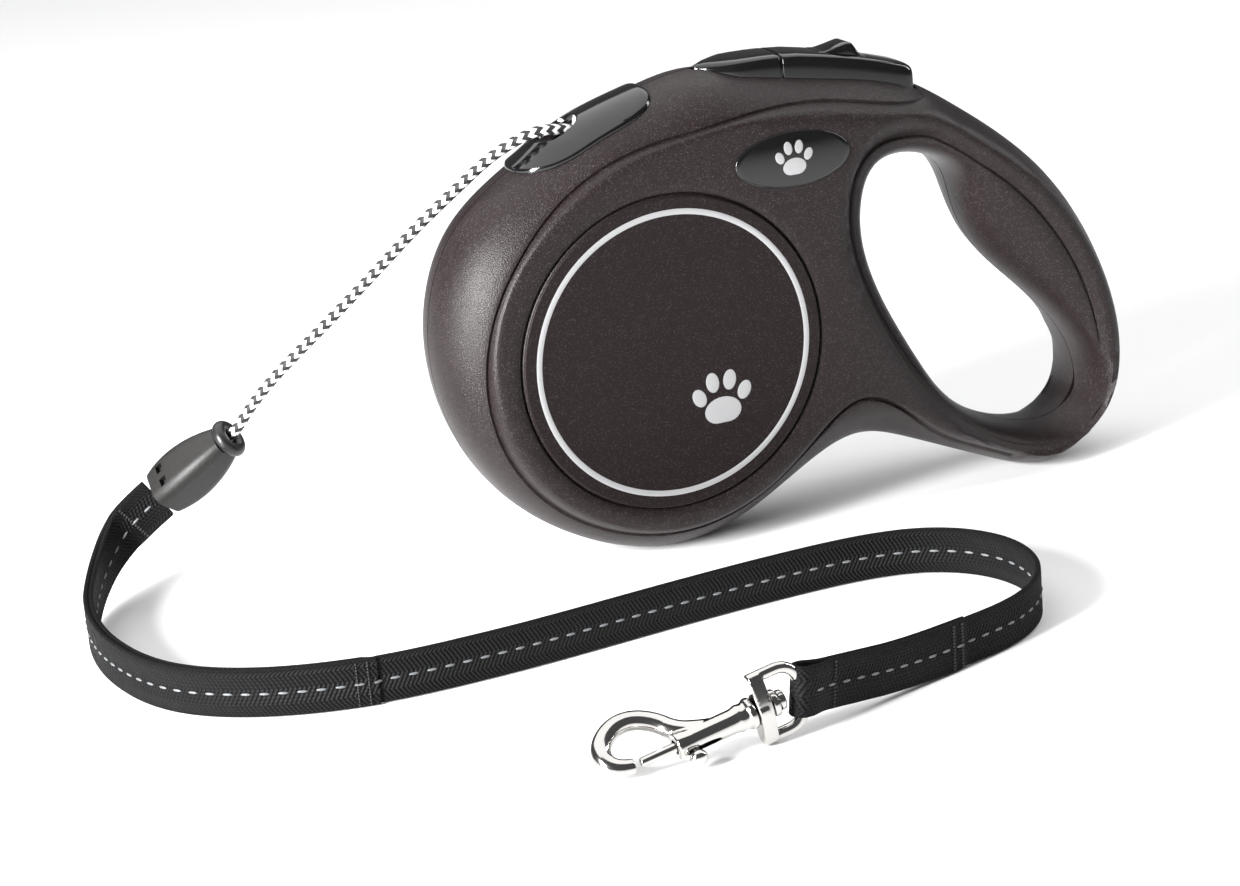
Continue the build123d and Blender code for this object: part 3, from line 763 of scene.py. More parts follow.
@dataclass
class Case:
    """The two moulded halves, as half thicknesses over the case's side view."""

    reel: tuple[float, float]
    rim_round: float = 21.0
    panel_r: float = 49.3
    panel_high: float = 19.6
    handle_high: float = 16.2
    grip_high: float = 14.6
    panel_lift: float = 2.3
    panel_groove: tuple[float, float] = (0.95, 0.45)
    grip_crease: tuple[float, float] = (0.5, 0.4)
    groove_r: float = 41.25
    disc_groove: tuple[float, float] = (0.9, 0.3)
    parting_step: float = 0.17
    well_r: float = 2.55
    sleeve: float = 0.45
    sleeve_foot: float = 12.0
    wall: float = 2.0
    step: float = 1.5
    outline: Line2D = field(init=False)
    opening: Line2D = field(init=False)
    grip: Line2D = field(init=False)
    panel: Line2D = field(init=False)
    panel_loop: Line2D = field(init=False)

    def __post_init__(self) -> None:
        """Lays out the lines of the side view."""
        self.outline = Line2D.through(CASE_OUTLINE, self.step)
        self.opening = Line2D.through(FINGER_OPENING, self.step)
        self.grip = Line2D.through(GRIP_LINE, self.step)
        reel_z = self.reel[1]
        sweep = np.radians(np.arange(-52, -224, -14.0))
        ring = [(self.panel_r * math.cos(a), reel_z + self.panel_r * math.sin(a)) for a in sweep]
        self.panel = Line2D.through(PANEL_FOOT + ring + PANEL_TOP, self.step, closed=False)
        beyond = np.array([(150, 150), (200, 60), (150, -40), (105, -30)], dtype=float)
        self.panel_loop = Line2D(np.vstack([self.panel.points, beyond]), True)

    @staticmethod
    def dip(off: Array, size: tuple[float, float]) -> Array:
        """Depth of a soft groove of a given depth and width, at distances from its line."""
        return size[0] * np.exp(-(off / size[1]) ** 2)

    def half_thickness(self, where: Array) -> Array:
        """Half thickness of the case over points of the side view.

        Args:
            where: Points, x from the reel's axis and z from the floor.

        Returns:
            Height of the outside above the parting plane.
        """
        rim_in = self.outline.distance(where)
        round_in = np.clip(rim_in / self.rim_round, 0, 1)
        rim = self.rim_round * np.sqrt(1 - (1 - round_in) ** 2)
        top = self.panel_high + (self.handle_high - self.panel_high) * ease((where[:, 0] - 50) / 38)
        edge = self.panel.distance(where)
        over = np.where(self.panel_loop.inside(where), edge, -edge)
        lift = self.panel_lift * ease(over / 2.6 + 0.1) * ease(rim_in / 7)
        main = soft_min(rim + lift, top, 1.5) - self.dip(over, self.panel_groove) * ease(rim_in / 4)
        radial = np.hypot(where[:, 0], where[:, 1] - self.reel[1])
        main = main - self.dip(radial - self.groove_r, self.disc_groove)
        from_edge, from_grip = self.opening.distance(where), self.grip.distance(where)
        between = self.grip.inside(where)
        share = from_edge / np.maximum(from_edge + from_grip * between, 4.0)
        wall = self.grip_high * np.sqrt(1 - (1 - np.clip(share, 0, 1)) ** 2)
        wall = wall + np.where(between, 0, (top + 2 - self.grip_high) * ease(from_grip / 5))
        crease = self.dip(from_grip, self.grip_crease) * ease((from_edge - 2) / 2)
        return np.maximum(soft_min(main, wall, 1.0) - crease, 0)

    def field_points(self) -> tuple[list, list]:
        """Points of the side view's net: rings along every line, and a loose fill.

        Returns:
            The points, and the pairs of them that stay joined.
        """
        net = PointNet()
        self.rim_rings(net)
        self.opening_rings(net)
        self.line_rings(net)
        self.round_rings(net)
        for row, z in enumerate(np.arange(1, 125, 2.0)):
            xs = np.arange(-60, 140, 2.2) + (row % 2) * 1.1
            grid = np.stack([xs, np.full_like(xs, z)], axis=1)
            keep = self.outline.inside(grid) & ~self.opening.inside(grid)
            keep &= (self.outline.distance(grid) > 2) & (self.opening.distance(grid) > 2)
            net.ring(grid, keep, 1.25, joined=False)
        return net.points, net.edges

    def rim_rings(self, net: "PointNet") -> None:
        """Adds rings that follow the outline up the round of the rim.

        Args:
            net: The net that takes them.
        """
        for turn in np.radians(np.arange(0, 58, 6.0)):
            inset = self.rim_round * (1 - math.cos(turn))
            ring = self.outline.points + self.outline.left * inset
            keep = np.ones(len(ring), dtype=bool)
            if inset > 0:
                keep = self.outline.distance(ring) > inset * 0.97
            if inset > 1:
                keep &= inset < 0.55 * (inset + self.opening.distance(ring))
                keep &= self.panel.distance(ring) > 2.4
            net.ring(ring, keep, 0.0)

    def opening_rings(self, net: "PointNet") -> None:
        """Adds rings that follow the finger opening up the round of the grip.

        Args:
            net: The net that takes them.
        """
        reach = np.maximum(self.grip.distance(self.opening.points), 4.0) * np.where(
            self.grip.inside(self.opening.points), 1, 0)
        smooth = np.convolve(np.tile(reach, 3), np.ones(7) / 7, "same")
        reach = np.maximum(smooth[len(reach):2 * len(reach)], 4.0)
        for turn in np.radians(np.arange(0, 80, 8.0)):
            inset = reach * (1 - math.cos(turn))
            ring = self.opening.points - self.opening.left * inset[:, None]
            keep = (self.opening.distance(ring) > inset * 0.9) | (turn == 0)
            if turn > 0.4:
                keep &= inset < 0.5 * (inset + self.outline.distance(ring))
                keep &= (self.grip.distance(ring) > 0.7) | (inset < 3)
            net.ring(ring, keep, 0.0)

    def line_rings(self, net: "PointNet") -> None:
        """Adds rings close beside the grip's crease and the panel's groove.

        Args:
            net: The net that takes them.
        """
        for line, insets in ((self.grip, (-0.8, -0.4, 0, 0.4, 0.8, 1.6, 2.6)),
                             (self.panel, (-2.4, -1.3, -0.7, -0.35, 0, 0.35, 0.7, 1.2, 1.9, 2.8))):
            for inset in insets:
                side = 1 if line is self.panel else -1
                ring = line.points + line.left * inset * side
                keep = (self.outline.distance(ring) > 1.6) & (self.opening.distance(ring) > 2.2)
                keep &= self.outline.inside(ring) & ~self.opening.inside(ring)
                net.ring(ring, keep, 0.3, line.closed)

    def round_rings(self, net: "PointNet") -> None:
        """Adds rings round the disc's groove and the screws' bores.

        Args:
            net: The net that takes them.
        """
        turn = np.linspace(0, 2 * math.pi, 180, endpoint=False)
        for inset in (-0.7, -0.35, 0, 0.35, 0.7):
            r = self.groove_r + inset
            ring = np.stack([r * np.cos(turn), self.reel[1] + r * np.sin(turn)], axis=1)
            net.ring(ring, self.panel.distance(ring) > 2.9, 0.2)
        turn = np.linspace(0, 2 * math.pi, 32, endpoint=False)
        for x, z in SCREWS:
            for r in (self.well_r, self.well_r + 0.5, self.well_r + 1.2):
                net.ring(np.stack([x + r * np.cos(turn), z + r * np.sin(turn)], axis=1), turn >= 0, 0.12)

    def screw_wells(self, shell: bpy.types.Object) -> bpy.types.Object:
        """Lines the right half's bores over the screws with thin sleeves.

        Args:
            shell: The right half.

        Returns:
            The right half with its sleeves.
        """
        spots = np.array(SCREWS, dtype=float)
        tops = self.half_thickness(spots) - self.sleeve
        inner, outer, foot = self.well_r, self.well_r + self.sleeve, self.sleeve_foot
        sleeves = []
        for number, ((x, z), top) in enumerate(zip(spots, tops)):
            place = Matrix.Translation((x + self.reel[0], 0, z)) @ Matrix.Rotation(math.radians(-90), 4, "X")
            profile = [(inner, foot), (inner, top), (outer, top), (outer, foot)]
            turn = np.linspace(0, 2 * math.pi, 32, endpoint=False)
            rows = np.array([[(r * math.cos(a), r * math.sin(a), h) for r, h in profile] for a in [*turn, 0.0]])
            sleeve = grid_mesh(f"sleeve{number}", put(rows, place), capped=False)
            sleeves.append(with_modifier(sleeve, "WELD", merge_threshold=0.001 * MM))
        return merge(shell.name, [shell, *sleeves])

    def shell(self, side: int) -> bpy.types.Object:
        """One half of the case as a thin wall with a fine step at the parting line.

        Args:
            side: -1 for the left half, 1 for the right.

        Returns:
            The closed piece, not yet cut for the button and the cord.
        """
        points, edges = self.field_points()
        verts, _, faces, *_ = delaunay_2d_cdt([Vector(p) for p in points], edges, [], 0, 1e-5)
        flat = np.array([tuple(v) for v in verts])
        middle = np.array([flat[list(f)].mean(axis=0) for f in faces])
        kept = self.outline.inside(middle) & ~self.opening.inside(middle)
        if side > 0:
            for x, z in SCREWS:
                kept &= np.hypot(middle[:, 0] - x, middle[:, 1] - z) > self.well_r * 0.995
        height = self.half_thickness(flat)
        solid = np.stack([flat[:, 0] + self.reel[0], side * (height + self.parting_step),
                          np.maximum(flat[:, 1], 0)], axis=1)
        piece = new_mesh(f"case_shell_{'left' if side < 0 else 'right'}", solid * MM,
                         [f if side < 0 else f[::-1] for f, k in zip(faces, kept) if k])
        with_modifier(piece, "SOLIDIFY", thickness=self.wall * MM, offset=-1.0, use_even_offset=False)
        return piece


class PointNet:
    """Gathers the points of a flat net, keeping rings joined and strays apart."""

    def __init__(self) -> None:
        """Starts empty."""
        self.points: list[tuple[float, float]] = []
        self.edges: list[tuple[int, int]] = []

    def ring(self, ring: Array, keep: Array, apart: float, closed: bool = True, joined: bool = True) -> None:
        """Adds a ring's kept points, and the joins between neighbours.

        Args:
            ring: Points in order.
            keep: Which of them to keep.
            apart: Least distance from any point added before this ring.
            closed: Whether the last point joins the first.
            joined: Whether neighbours are joined at all.
        """
        if apart and self.points:
            tree = KDTree(len(self.points))
            for i, (x, z) in enumerate(self.points):
                tree.insert((x, z, 0), i)
            tree.balance()
            near = np.array([tree.find((x, z, 0))[2] for x, z in ring])
            keep = keep & (near > apart)
        index = np.full(len(ring), -1)
        for i in np.flatnonzero(keep):
            index[i] = len(self.points)
            self.points.append(tuple(ring[i]))
        if joined:
            pairs = zip(index, np.roll(index, -1)) if closed else zip(index[:-1], index[1:])
            self.edges += [(int(a), int(b)) for a, b in pairs if a >= 0 and b >= 0]


@dataclass
class Trim:
    """The printed ring and paw on each disc, and the domed badge with its own paw."""

    reel: tuple[float, float]
    ring_r: float = 36.9
    ring_wide: float = 1.5
    thick: float = 0.05
    badge_at: tuple[float, float] = (36.5, 101.2)
    badge_half: tuple[float, float] = (16.0, 7.2)
    dome: float = 0.75

    def ring(self, side: int, face: float) -> bpy.types.Object:
        """A plain printed ring round the disc.

        Args:
            side: -1 for the left disc, 1 for the right.
            face: Height of the disc's face above the parting plane.

        Returns:
            The piece.
        """
        turn = np.linspace(0, 2 * math.pi, 160, endpoint=False)
        section = [(-0.5, 0), (-0.42, 1), (0.42, 1), (0.5, 0), (0.4, -1), (-0.4, -1)]
        rows = np.array([[(self.reel[0] + (self.ring_r + w * self.ring_wide) * math.cos(a),
                           side * (face + h * self.thick),
                           self.reel[1] + (self.ring_r + w * self.ring_wide) * math.sin(a))
                          for w, h in section] for a in [*turn, 0.0]])
        piece = grid_mesh(f"disc_ring_{'left' if side < 0 else 'right'}", rows, capped=False)
        return with_modifier(piece, "WELD", merge_threshold=0.001 * MM)

    def dome_height(self, x: Array | float, z: Array | float) -> Array | float:
        """Rise of the badge's dome above its edge, over offsets from its centre."""
        return self.dome * np.clip(1 - (x / self.badge_half[0]) ** 2 - (z / self.badge_half[1]) ** 2, 0, 1)

    def badge(self, side: int, face: float) -> bpy.types.Object:
        """The oval badge: a low polished dome with a rounded edge, let into the panel.

        Args:
            side: -1 for the left badge, 1 for the right.
            face: Height of its edge above the parting plane.

        Returns:
            The piece.
        """
        rows = []
        edge = [(0.97, -1.1), (1.0, -0.9), (1.0, -0.2), (0.993, -0.08)]
        for share, lift in edge + [(share, 0.0) for share in (0.98, 0.9, 0.8, 0.65, 0.5, 0.3, 0.1)]:
            ring = []
            for a in np.linspace(0, 2 * math.pi, 96, endpoint=False):
                x, z = share * self.badge_half[0] * math.cos(a), share * self.badge_half[1] * math.sin(a)
                rise = lift + (self.dome_height(x, z) if lift == 0 else 0)
                ring.append((self.reel[0] + self.badge_at[0] + x, side * (face + rise), self.badge_at[1] + z))
            rows.append(ring)
        return grid_mesh(f"badge_{'near' if side < 0 else 'far'}", np.array(rows))

    def paw(self, name: str, at: tuple[float, float], size: float, side: int, face: float,
            domed: bool = False) -> bpy.types.Object:
        """A plain paw print: one broad pad and four toes.

        Args:
            name: Name of the piece.
            at: Centre in the side view, x from the reel's axis and z from the floor.
            size: Height of the whole print.
            side: -1 for the left side, 1 for the right.
            face: Height of the surface that it is printed on.
            domed: Whether that surface is the badge's dome.

        Returns:
            The piece.
        """
        pads = [(0, -0.2, 0.34, 0.25, 0), (-0.42, 0.1, 0.12, 0.17, 25), (-0.16, 0.33, 0.12, 0.18, 8),
                (0.16, 0.33, 0.12, 0.18, -8), (0.42, 0.1, 0.12, 0.17, -25)]
        parts = []
        for number, (x, z, wide, high, lean) in enumerate(pads):
            c, s = math.cos(math.radians(lean)), math.sin(math.radians(lean))
            rows = []
            for share, lift in ((1.0, -1), (1.0, 0.4), (0.93, 1), (0.5, 1.1), (0.05, 1.15)):
                ring = []
                for a in np.linspace(0, 2 * math.pi, 28, endpoint=False):
                    notch = 1 - 0.16 * math.exp(-((a - 1.5 * math.pi) / 0.5) ** 2) if number == 0 else 1
                    px, pz = share * notch * wide * math.cos(a), share * notch * high * math.sin(a)
                    dx, dz = size * (x + px * c - pz * s), size * (z + px * s + pz * c)
                    rise = self.dome_height(dx, dz) if domed else 0
                    ring.append((self.reel[0] + at[0] + dx, side * (face + rise + lift * self.thick),
                                 at[1] + dz))
                rows.append(ring)
            parts.append(grid_mesh(f"pad{number}", np.array(rows)))
        return merge(name, parts)


@dataclass
class Top:
    """The nozzle saddle, the brake button and its lock, all on the crown of the case."""

    case: Case
    crown_from: tuple[float, float] = (-37.0, 103.6)
    crown_points: int = 80
    saddle_from: float = 5.0
    saddle_to: float = 46.0
    saddle_half: float = 12.6
    saddle_high: float = 1.1
    mouth_at: float = 21.0
    mouth_half: tuple[float, float] = (6.1, 5.3)
    front_lip: float = 0.5
    bore_r: float = 3.4
    bore_from: tuple[float, float, float] = (1.0, 0.0, 113.22)
    bore_run: tuple[float, float, float] = (-42.0, 0.0, 1.26)
    button_gap: float = 0.35
    button_bevel: float = 1.5
    seam_deep: float = 0.55
    lock_at: tuple[float, float] = (60.2, 121.55)
    lock_drop: float = math.radians(13.6)

    def crown(self, along: Array, across: Array, lift: Array) -> Array:
        """Points on the crown of the case.

        Args:
            along: Distance along the outline from the saddle's front edge towards the handle.
            across: Distance from the parting plane.
            lift: Height above the case's skin.

        Returns:
            Whole-model points.
        """
        line = self.case.outline
        start = int(np.argmin(np.hypot(*(line.points - self.crown_from).T)))
        order = (start - np.arange(len(line.points))) % len(line.points)
        if line.points[order[5], 1] < line.points[order[0], 1]:
            order = (start + np.arange(len(line.points))) % len(line.points)
        path, inward = line.points[order], line.left[order]
        if not self.case.outline.inside((path + inward)[:1])[0]:
            inward = -inward
        lengths = (np.arange(len(path)) * np.linalg.norm(path[1] - path[0]))[:self.crown_points]
        at, normal = (np.stack([np.interp(along, lengths, values[:self.crown_points, i]) for i in range(2)],
                               axis=-1) for values in (path, inward))
        r = self.case.rim_round
        lean = np.arcsin(np.clip(across / r, -0.99, 0.99))
        inset = r - (r + lift) * np.cos(lean)
        spot = at + normal * inset[..., None]
        return np.stack([spot[..., 0] + self.case.reel[0], (r + lift) * np.sin(lean), spot[..., 1]], axis=-1)

    def saddle_edge(self, turn: Array) -> Array:
        """The saddle's outline: an oval, squarer at its rear end.

        Args:
            turn: Angles round its middle.

        Returns:
            Offsets from the mouth, along and across the crown, for each angle.
        """
        edge = []
        for a in turn:
            c, s = math.cos(a), math.sin(a)
            reach = (self.saddle_to - self.saddle_from) / 2
            power = 3.1 + 0.7 * c
            size = (abs(c / reach) ** power + abs(s / self.saddle_half) ** power) ** (-1 / power)
            edge.append((self.saddle_from + reach + size * c - self.mouth_at, size * s))
        return np.array(edge)

    def nozzle(self) -> bpy.types.Object:
        """The saddle: a skin over the crown with a bevelled edge and a flared mouth for the cord.

        Returns:
            The piece.
        """
        turn = np.linspace(0, 2 * math.pi, 120, endpoint=False)
        edge = self.saddle_edge(turn)
        mouth = np.stack([np.cos(turn), np.sin(turn)], axis=1) * self.mouth_half
        lip = self.saddle_high + self.front_lip * np.clip(-np.cos(turn), 0, 1)
        rows = []
        for share, drop in ((0.1, 8.8), (0.5, 8.6), (0.66, 7.4), (0.78, 5.2), (0.87, 2.9), (0.93, 1.3),
                            (0.97, 0.45), (1.0, 0.1), (1.04, 0.0), (1.1, 0.02)):
            rows.append((mouth * share, lip - drop))
        for share in (0.25, 0.45, 0.65, 0.82, 0.91):
            level = lip + (self.saddle_high - lip) * min(share * 1.6, 1)
            rows.append((mouth * 1.1 * (1 - share) + edge * share, level))
        for share, lift in ((0.945, 1.05), (0.965, 0.9), (0.985, 0.55), (0.997, 0.15), (1.0, -0.4),
                            (0.99, -2.2)):
            rows.append((edge * share, np.full(len(turn), lift)))
        grid = np.array([self.crown(self.mouth_at + flat[:, 0], flat[:, 1], lift) for flat, lift in rows])
        return grid_mesh("nozzle_saddle", grid)

    def top_line(self, x: float) -> float:
        """Height of the button's top over x from the reel's axis."""
        return float(np.interp(x, [19, 23, 30, 38, 47, 56, 64, 72, 79],
                               [124.7, 125.4, 125.8, 125.7, 124.9, 123.1, 121.2, 119.0, 116.8]))

    def low_line(self, x: float) -> float:
        """Height of the button's lower edge."""
        return float(np.interp(x, [19, 26, 34, 45, 60, 79], [123.6, 121.3, 118.9, 116.2, 113.4, 109.6]))

    def half_line(self, x: float) -> float:
        """Half width of the button."""
        return float(np.interp(x, [19, 20.5, 23, 26, 29, 76.5, 78.2, 79],
                               [0.7, 2.0, 4.4, 6.4, 7.6, 7.6, 6.9, 5.6]))

    def button(self) -> bpy.types.Object:
        """Thumb button: a long wedge with a pointed front, bevelled sides and a seam across it.

        Returns:
            The piece.
        """
        xs = [19.4, 20.2, 21.4, 23, 25, 27, 29, 32, 36, 39.6, 40.4, 40.7, 41.1, 41.4, 42.2, 46, 52, 58, 64, 70,
              74, 76.2, 77.4, 78.2, 78.7, 79]
        rows = []
        for x in xs:
            top, low, half = self.top_line(x), self.low_line(x), self.half_line(x)
            seam = self.seam_deep if 40.6 < x < 41.2 else 0.0
            end = 0.7 * max(0.0, (x - 76) / 3) ** 2
            top, half = top - seam - end, half - seam
            bevel = min(self.button_bevel, (top - low) * 0.45, half * 0.45)
            section = [(-half, low - 3), (-half, low), (-half, top - bevel), (-half + bevel, top - 0.2),
                       (0, top), (half - bevel, top - 0.2), (half, top - bevel), (half, low), (half, low - 3)]
            soft = rounded(section, 2)
            rows.append([(x + self.case.reel[0], y, z) for y, z in soft])
        piece = grid_mesh("thumb_button", np.array(rows))
        return with_modifier(piece, "BEVEL", width=0.25 * MM, segments=2, limit_method="ANGLE",
                             angle_limit=math.radians(38))

    def slot_cutter(self) -> bpy.types.Object:
        """The room for the button in the case.

        Returns:
            The cutter.
        """
        rows = []
        for x in (18.6, 20.2, 23, 26, 29, 40, 60, 76.5, 78.6, 79.5):
            half = self.half_line(min(x, 78.4)) + self.button_gap
            low, high = self.low_line(x) - 5, 140.0
            rows.append([(x + self.case.reel[0], y, z)
                         for y, z in ((-half, low), (-half, high), (half, high), (half, low))])
        return grid_mesh("slot_cutter", np.array(rows))

    def bore_cutter(self) -> bpy.types.Object:
        """The way for the cord through the nose of the case, as a cutter."""
        start = np.array(self.bore_from) + (self.case.reel[0], 0, 0)
        return swept("bore_cutter", np.array([start, start + self.bore_run]), np.full(2, self.bore_r), 28)

    def lock(self) -> bpy.types.Object:
        """Lock slider: a low plate with a thumb wedge.

        Returns:
            The piece.
        """
        section = rounded([(-7.4, -0.7), (-7.4, 0.35), (-6.4, 0.5), (-5.2, 0.6), (0.2, 3.3), (1.3, 3.5),
                           (2.2, 3.3), (4.6, 0.8), (6.6, 0.5), (7.4, 0.35), (7.4, -0.7)], 2)
        c, s = math.cos(self.lock_drop), math.sin(self.lock_drop)
        at_x, at_z = self.lock_at[0] + self.case.reel[0], self.lock_at[1]
        rows = []
        for y, share in ((-4.2, 0.25), (-4.1, 0.6), (-3.8, 0.92), (-3.3, 1), (0, 1), (3.3, 1), (3.8, 0.92),
                         (4.1, 0.6), (4.2, 0.25)):
            rows.append([(at_x + x * c + z * share * s, y, at_z - x * s + z * share * c) for x, z in section])
        return grid_mesh("lock_wedge", np.array(rows))


# ---- repeated pieces -------------------------------------------------------------------------------
def bead_tree(name: str) -> bpy.types.GeometryNodeTree:
    """A Geometry Nodes tree that lays small beads along a line, each turned with the line.

    Args:
        name: Name of the tree.

    Returns:
        The tree, with inputs Spacing, Size and Material.
    """
    tree = bpy.data.node_groups.new(name, "GeometryNodeTree")
    face = tree.interface
    face.new_socket("Geometry", in_out="INPUT", socket_type="NodeSocketGeometry")
    face.new_socket("Spacing", in_out="INPUT", socket_type="NodeSocketFloat")
    face.new_socket("Size", in_out="INPUT", socket_type="NodeSocketVector")
    face.new_socket("Material", in_out="INPUT", socket_type="NodeSocketMaterial")
    face.new_socket("Geometry", in_out="OUTPUT", socket_type="NodeSocketGeometry")
    n = Nodes(tree)
    given = tree.nodes.new("NodeGroupInput").outputs
    line = n.add("GeometryNodeMeshToCurve", Mesh=given["Geometry"]).outputs[0]
    upright = n.add("GeometryNodeSetCurveNormal", mode="Z_UP", Curve=line).outputs[0]
    spots = n.add("GeometryNodeCurveToPoints", mode="LENGTH", Curve=upright, Length=given["Spacing"])
    bead = n.add("GeometryNodeMeshUVSphere", Segments=8, Rings=6, Radius=0.5).outputs["Mesh"]
    laid = n.add("GeometryNodeInstanceOnPoints", Points=spots.outputs["Points"], Instance=bead,
                 Rotation=spots.outputs["Rotation"], Scale=given["Size"]).outputs[0]
    real = n.add("GeometryNodeRealizeInstances", Geometry=laid).outputs[0]
    dressed = n.add("GeometryNodeSetMaterial", Geometry=real, Material=given["Material"]).outputs[0]
    end = tree.nodes.new("NodeGroupOutput")
    tree.links.new(dressed, end.inputs[0])
    return tree


def beads_along(name: str, tree: bpy.types.GeometryNodeTree, line: Array, spacing: float,
                size: tuple[float, float, float], finish: Finish) -> bpy.types.Object:
    """Runs the bead tree on one line.

    Args:
        name: Name of the piece.
        tree: The bead tree.
        line: Points of the line in millimetres.
        spacing: Distance between beads.
        size: Each bead's size across the line twice, then along it.
        finish: What the beads are made of.

    Returns:
        A plain mesh piece.
    """
    mesh = bpy.data.meshes.new(name)
    mesh.from_pydata([tuple(p) for p in line * MM], [(i, i + 1) for i in range(len(line) - 1)], [])
    piece = bpy.data.objects.new(name, mesh)
    bpy.context.scene.collection.objects.link(piece)
    modifier = piece.modifiers.new("Beads", "NODES")
    modifier.node_group = tree
    values = {"Spacing": spacing * MM, "Size": tuple(s * MM for s in size), "Material": finish.material()}
    for item in tree.interface.items_tree:
        if item.in_out == "INPUT" and item.name in values:
            modifier[item.identifier] = values[item.name]
    return make_plain(piece)


# ---- cord and webbing ------------------------------------------------------------------------------
@dataclass
class Tether:
    """The braided cord and the webbing strap."""

    cord_r: float = 1.4
    strap_wide: float = 12.0
    strap_thick: float = 1.3
    braid_relief: float = 0.09
    sewn_front: float = 158.0
    sewn_back: float = 52.0
    bar_gap: float = 2.05
    layer_gap: float = 0.68
    rib_high: float = 0.05
    dash_every: float = 4.5
    tack_half: float = 5.2

    def cord(self) -> tuple[bpy.types.Object, Array]:
        """The cord: a tube whose yarns cross in a herringbone.

        Returns:
            The piece, and the points that it follows.
        """
        line, along = evenly(route_points("cord_line", CORD_ROUTE), 0.35)
        rows, side = [], Vector((0, 1, 0))
        for i, here in enumerate(line):
            ahead = Vector(line[min(i + 1, len(line) - 1)] - line[max(i - 1, 0)]).normalized()
            side = (side - ahead * side.dot(ahead)).normalized()
            up = ahead.cross(side)
            ring = []
            for c in range(32):
                a = 2 * math.pi * c / 32
                turn = abs((c / 32 * 4) % 1 - 0.5) * 2
                wave = math.cos(2 * math.pi * (along[i] / 1.55 + turn))
                r = self.cord_r - self.braid_relief * (1 - wave) / 2
                ring.append(np.array(here) + r * (np.array(side) * math.cos(a) + np.array(up) * math.sin(a)))
            rows.append(ring)
        return grid_mesh("braided_cord", np.array(rows), along), line

    def strap_line(self) -> tuple[Array, Array, Array]:
        """The line that the webbing follows.

        Returns:
            Its points, the distance to each, and the sideways direction at each.
        """
        line, along = evenly(route_points("strap_line", STRAP_ROUTE), 0.45)
        ahead = np.gradient(line, axis=0)
        side = np.stack([-ahead[:, 1], ahead[:, 0], np.zeros(len(ahead))], axis=1)
        return line, along, side / np.linalg.norm(side, axis=1)[:, None]

    def ribbon(self, name: str, line: Array, along: Array, side: Array, thick: float) -> bpy.types.Object:
        """A woven tape on its edge, with round selvedges and slanting ribs on both faces.

        Args:
            name: Name of the piece.
            line: Points of its middle line.
            along: Distance along the strap at each point.
            side: Direction square to the tape at each point.
            thick: Thickness of the tape.

        Returns:
            The piece.
        """
        half, flank = self.strap_wide / 2, thick / 2
        spans = [math.sin(math.pi / 2 * t) * (half - 0.35) for t in np.linspace(-1, 1, 13)]
        selvedge = [(half - 0.08, 0.7), (half, 0.0), (half - 0.08, -0.7)]
        section = [(v, 1) for v in spans] + selvedge
        section += [(v, -1) for v in reversed(spans)] + [(-v, -face) for v, face in selvedge]
        rows = []
        for i, here in enumerate(line):
            ahead = line[min(i + 1, len(line) - 1)] - line[max(i - 1, 0)]
            up = np.cross(ahead / np.linalg.norm(ahead), side[i])
            up = up if up[2] > 0 else -up
            row = []
            for v, face in section:
                wave = math.sin(2 * math.pi * (along[i] / 1.35 + abs(v) / 3.0))
                rib = self.rib_high * wave if abs(face) == 1 else 0
                row.append(here + up * v + side[i] * face * (flank + rib))
            rows.append(row)
        return grid_mesh(name, np.array(rows), along)

    def spread(self, along: Array) -> Array:
        """Offset of each sewn layer from the middle line: wider where they part round the eye's bar."""
        end = along[-1]
        return self.layer_gap + (self.bar_gap - self.layer_gap) * ease((along - end + 9.0) / 8.0)

    def strap(self) -> tuple[bpy.types.Object, Array]:
        """The webbing, with the second layer sewn on at both ends.

        Returns:
            The piece, and the points that it follows.
        """
        line, along, side = self.strap_line()
        end = along[-1]
        spread = self.spread(along)
        single = np.interp(along, [0, self.sewn_front - 3, self.sewn_front, end - self.sewn_back,
                                   end - self.sewn_back + 3, end], [1, 1, 0, 0, 1, 1])
        parts = [self.ribbon("webbing_main", line + side * (spread * single)[:, None], along, side,
                             self.strap_thick)]
        for name, keep in (("front", along < self.sewn_front), ("back", along > end - self.sewn_back)):
            parts.append(self.ribbon(f"webbing_{name}", (line - side * spread[:, None])[keep], along[keep],
                                     side[keep], self.strap_thick))
        ahead = (line[-1] - line[-3]) / np.linalg.norm(line[-1] - line[-3])
        turn = np.linspace(0, math.pi, 19)[:, None]
        out = side[-1] * np.cos(turn) + ahead * np.sin(turn)
        parts.append(self.ribbon("webbing_fold", line[-1] + out * self.bar_gap, end + turn[:, 0] * self.bar_gap,
                                 out, self.strap_thick))
        return merge("webbing", parts), line

    def stitches(self, tree: bpy.types.GeometryNodeTree) -> bpy.types.Object:
        """The reflective thread: dashes down the middle of both faces.

        Args:
            tree: The tree that sets stitches along a line.

        Returns:
            The piece.
        """
        line, along, side = self.strap_line()
        end = along[-1]
        doubled = (along < self.sewn_front) | (along > end - self.sewn_back)
        parts = []
        for face in (-1, 1):
            out = (np.where(doubled, self.spread(along), 0) + self.strap_thick / 2 + 0.03) * face
            run = (line + side * out[:, None])[8:-8]
            parts.append(beads_along(f"dashes{face}", tree, run, self.dash_every, (0.55, 0.7, 2.5),
                                     STITCH_GREY))
        return merge("reflective_stitches", parts)

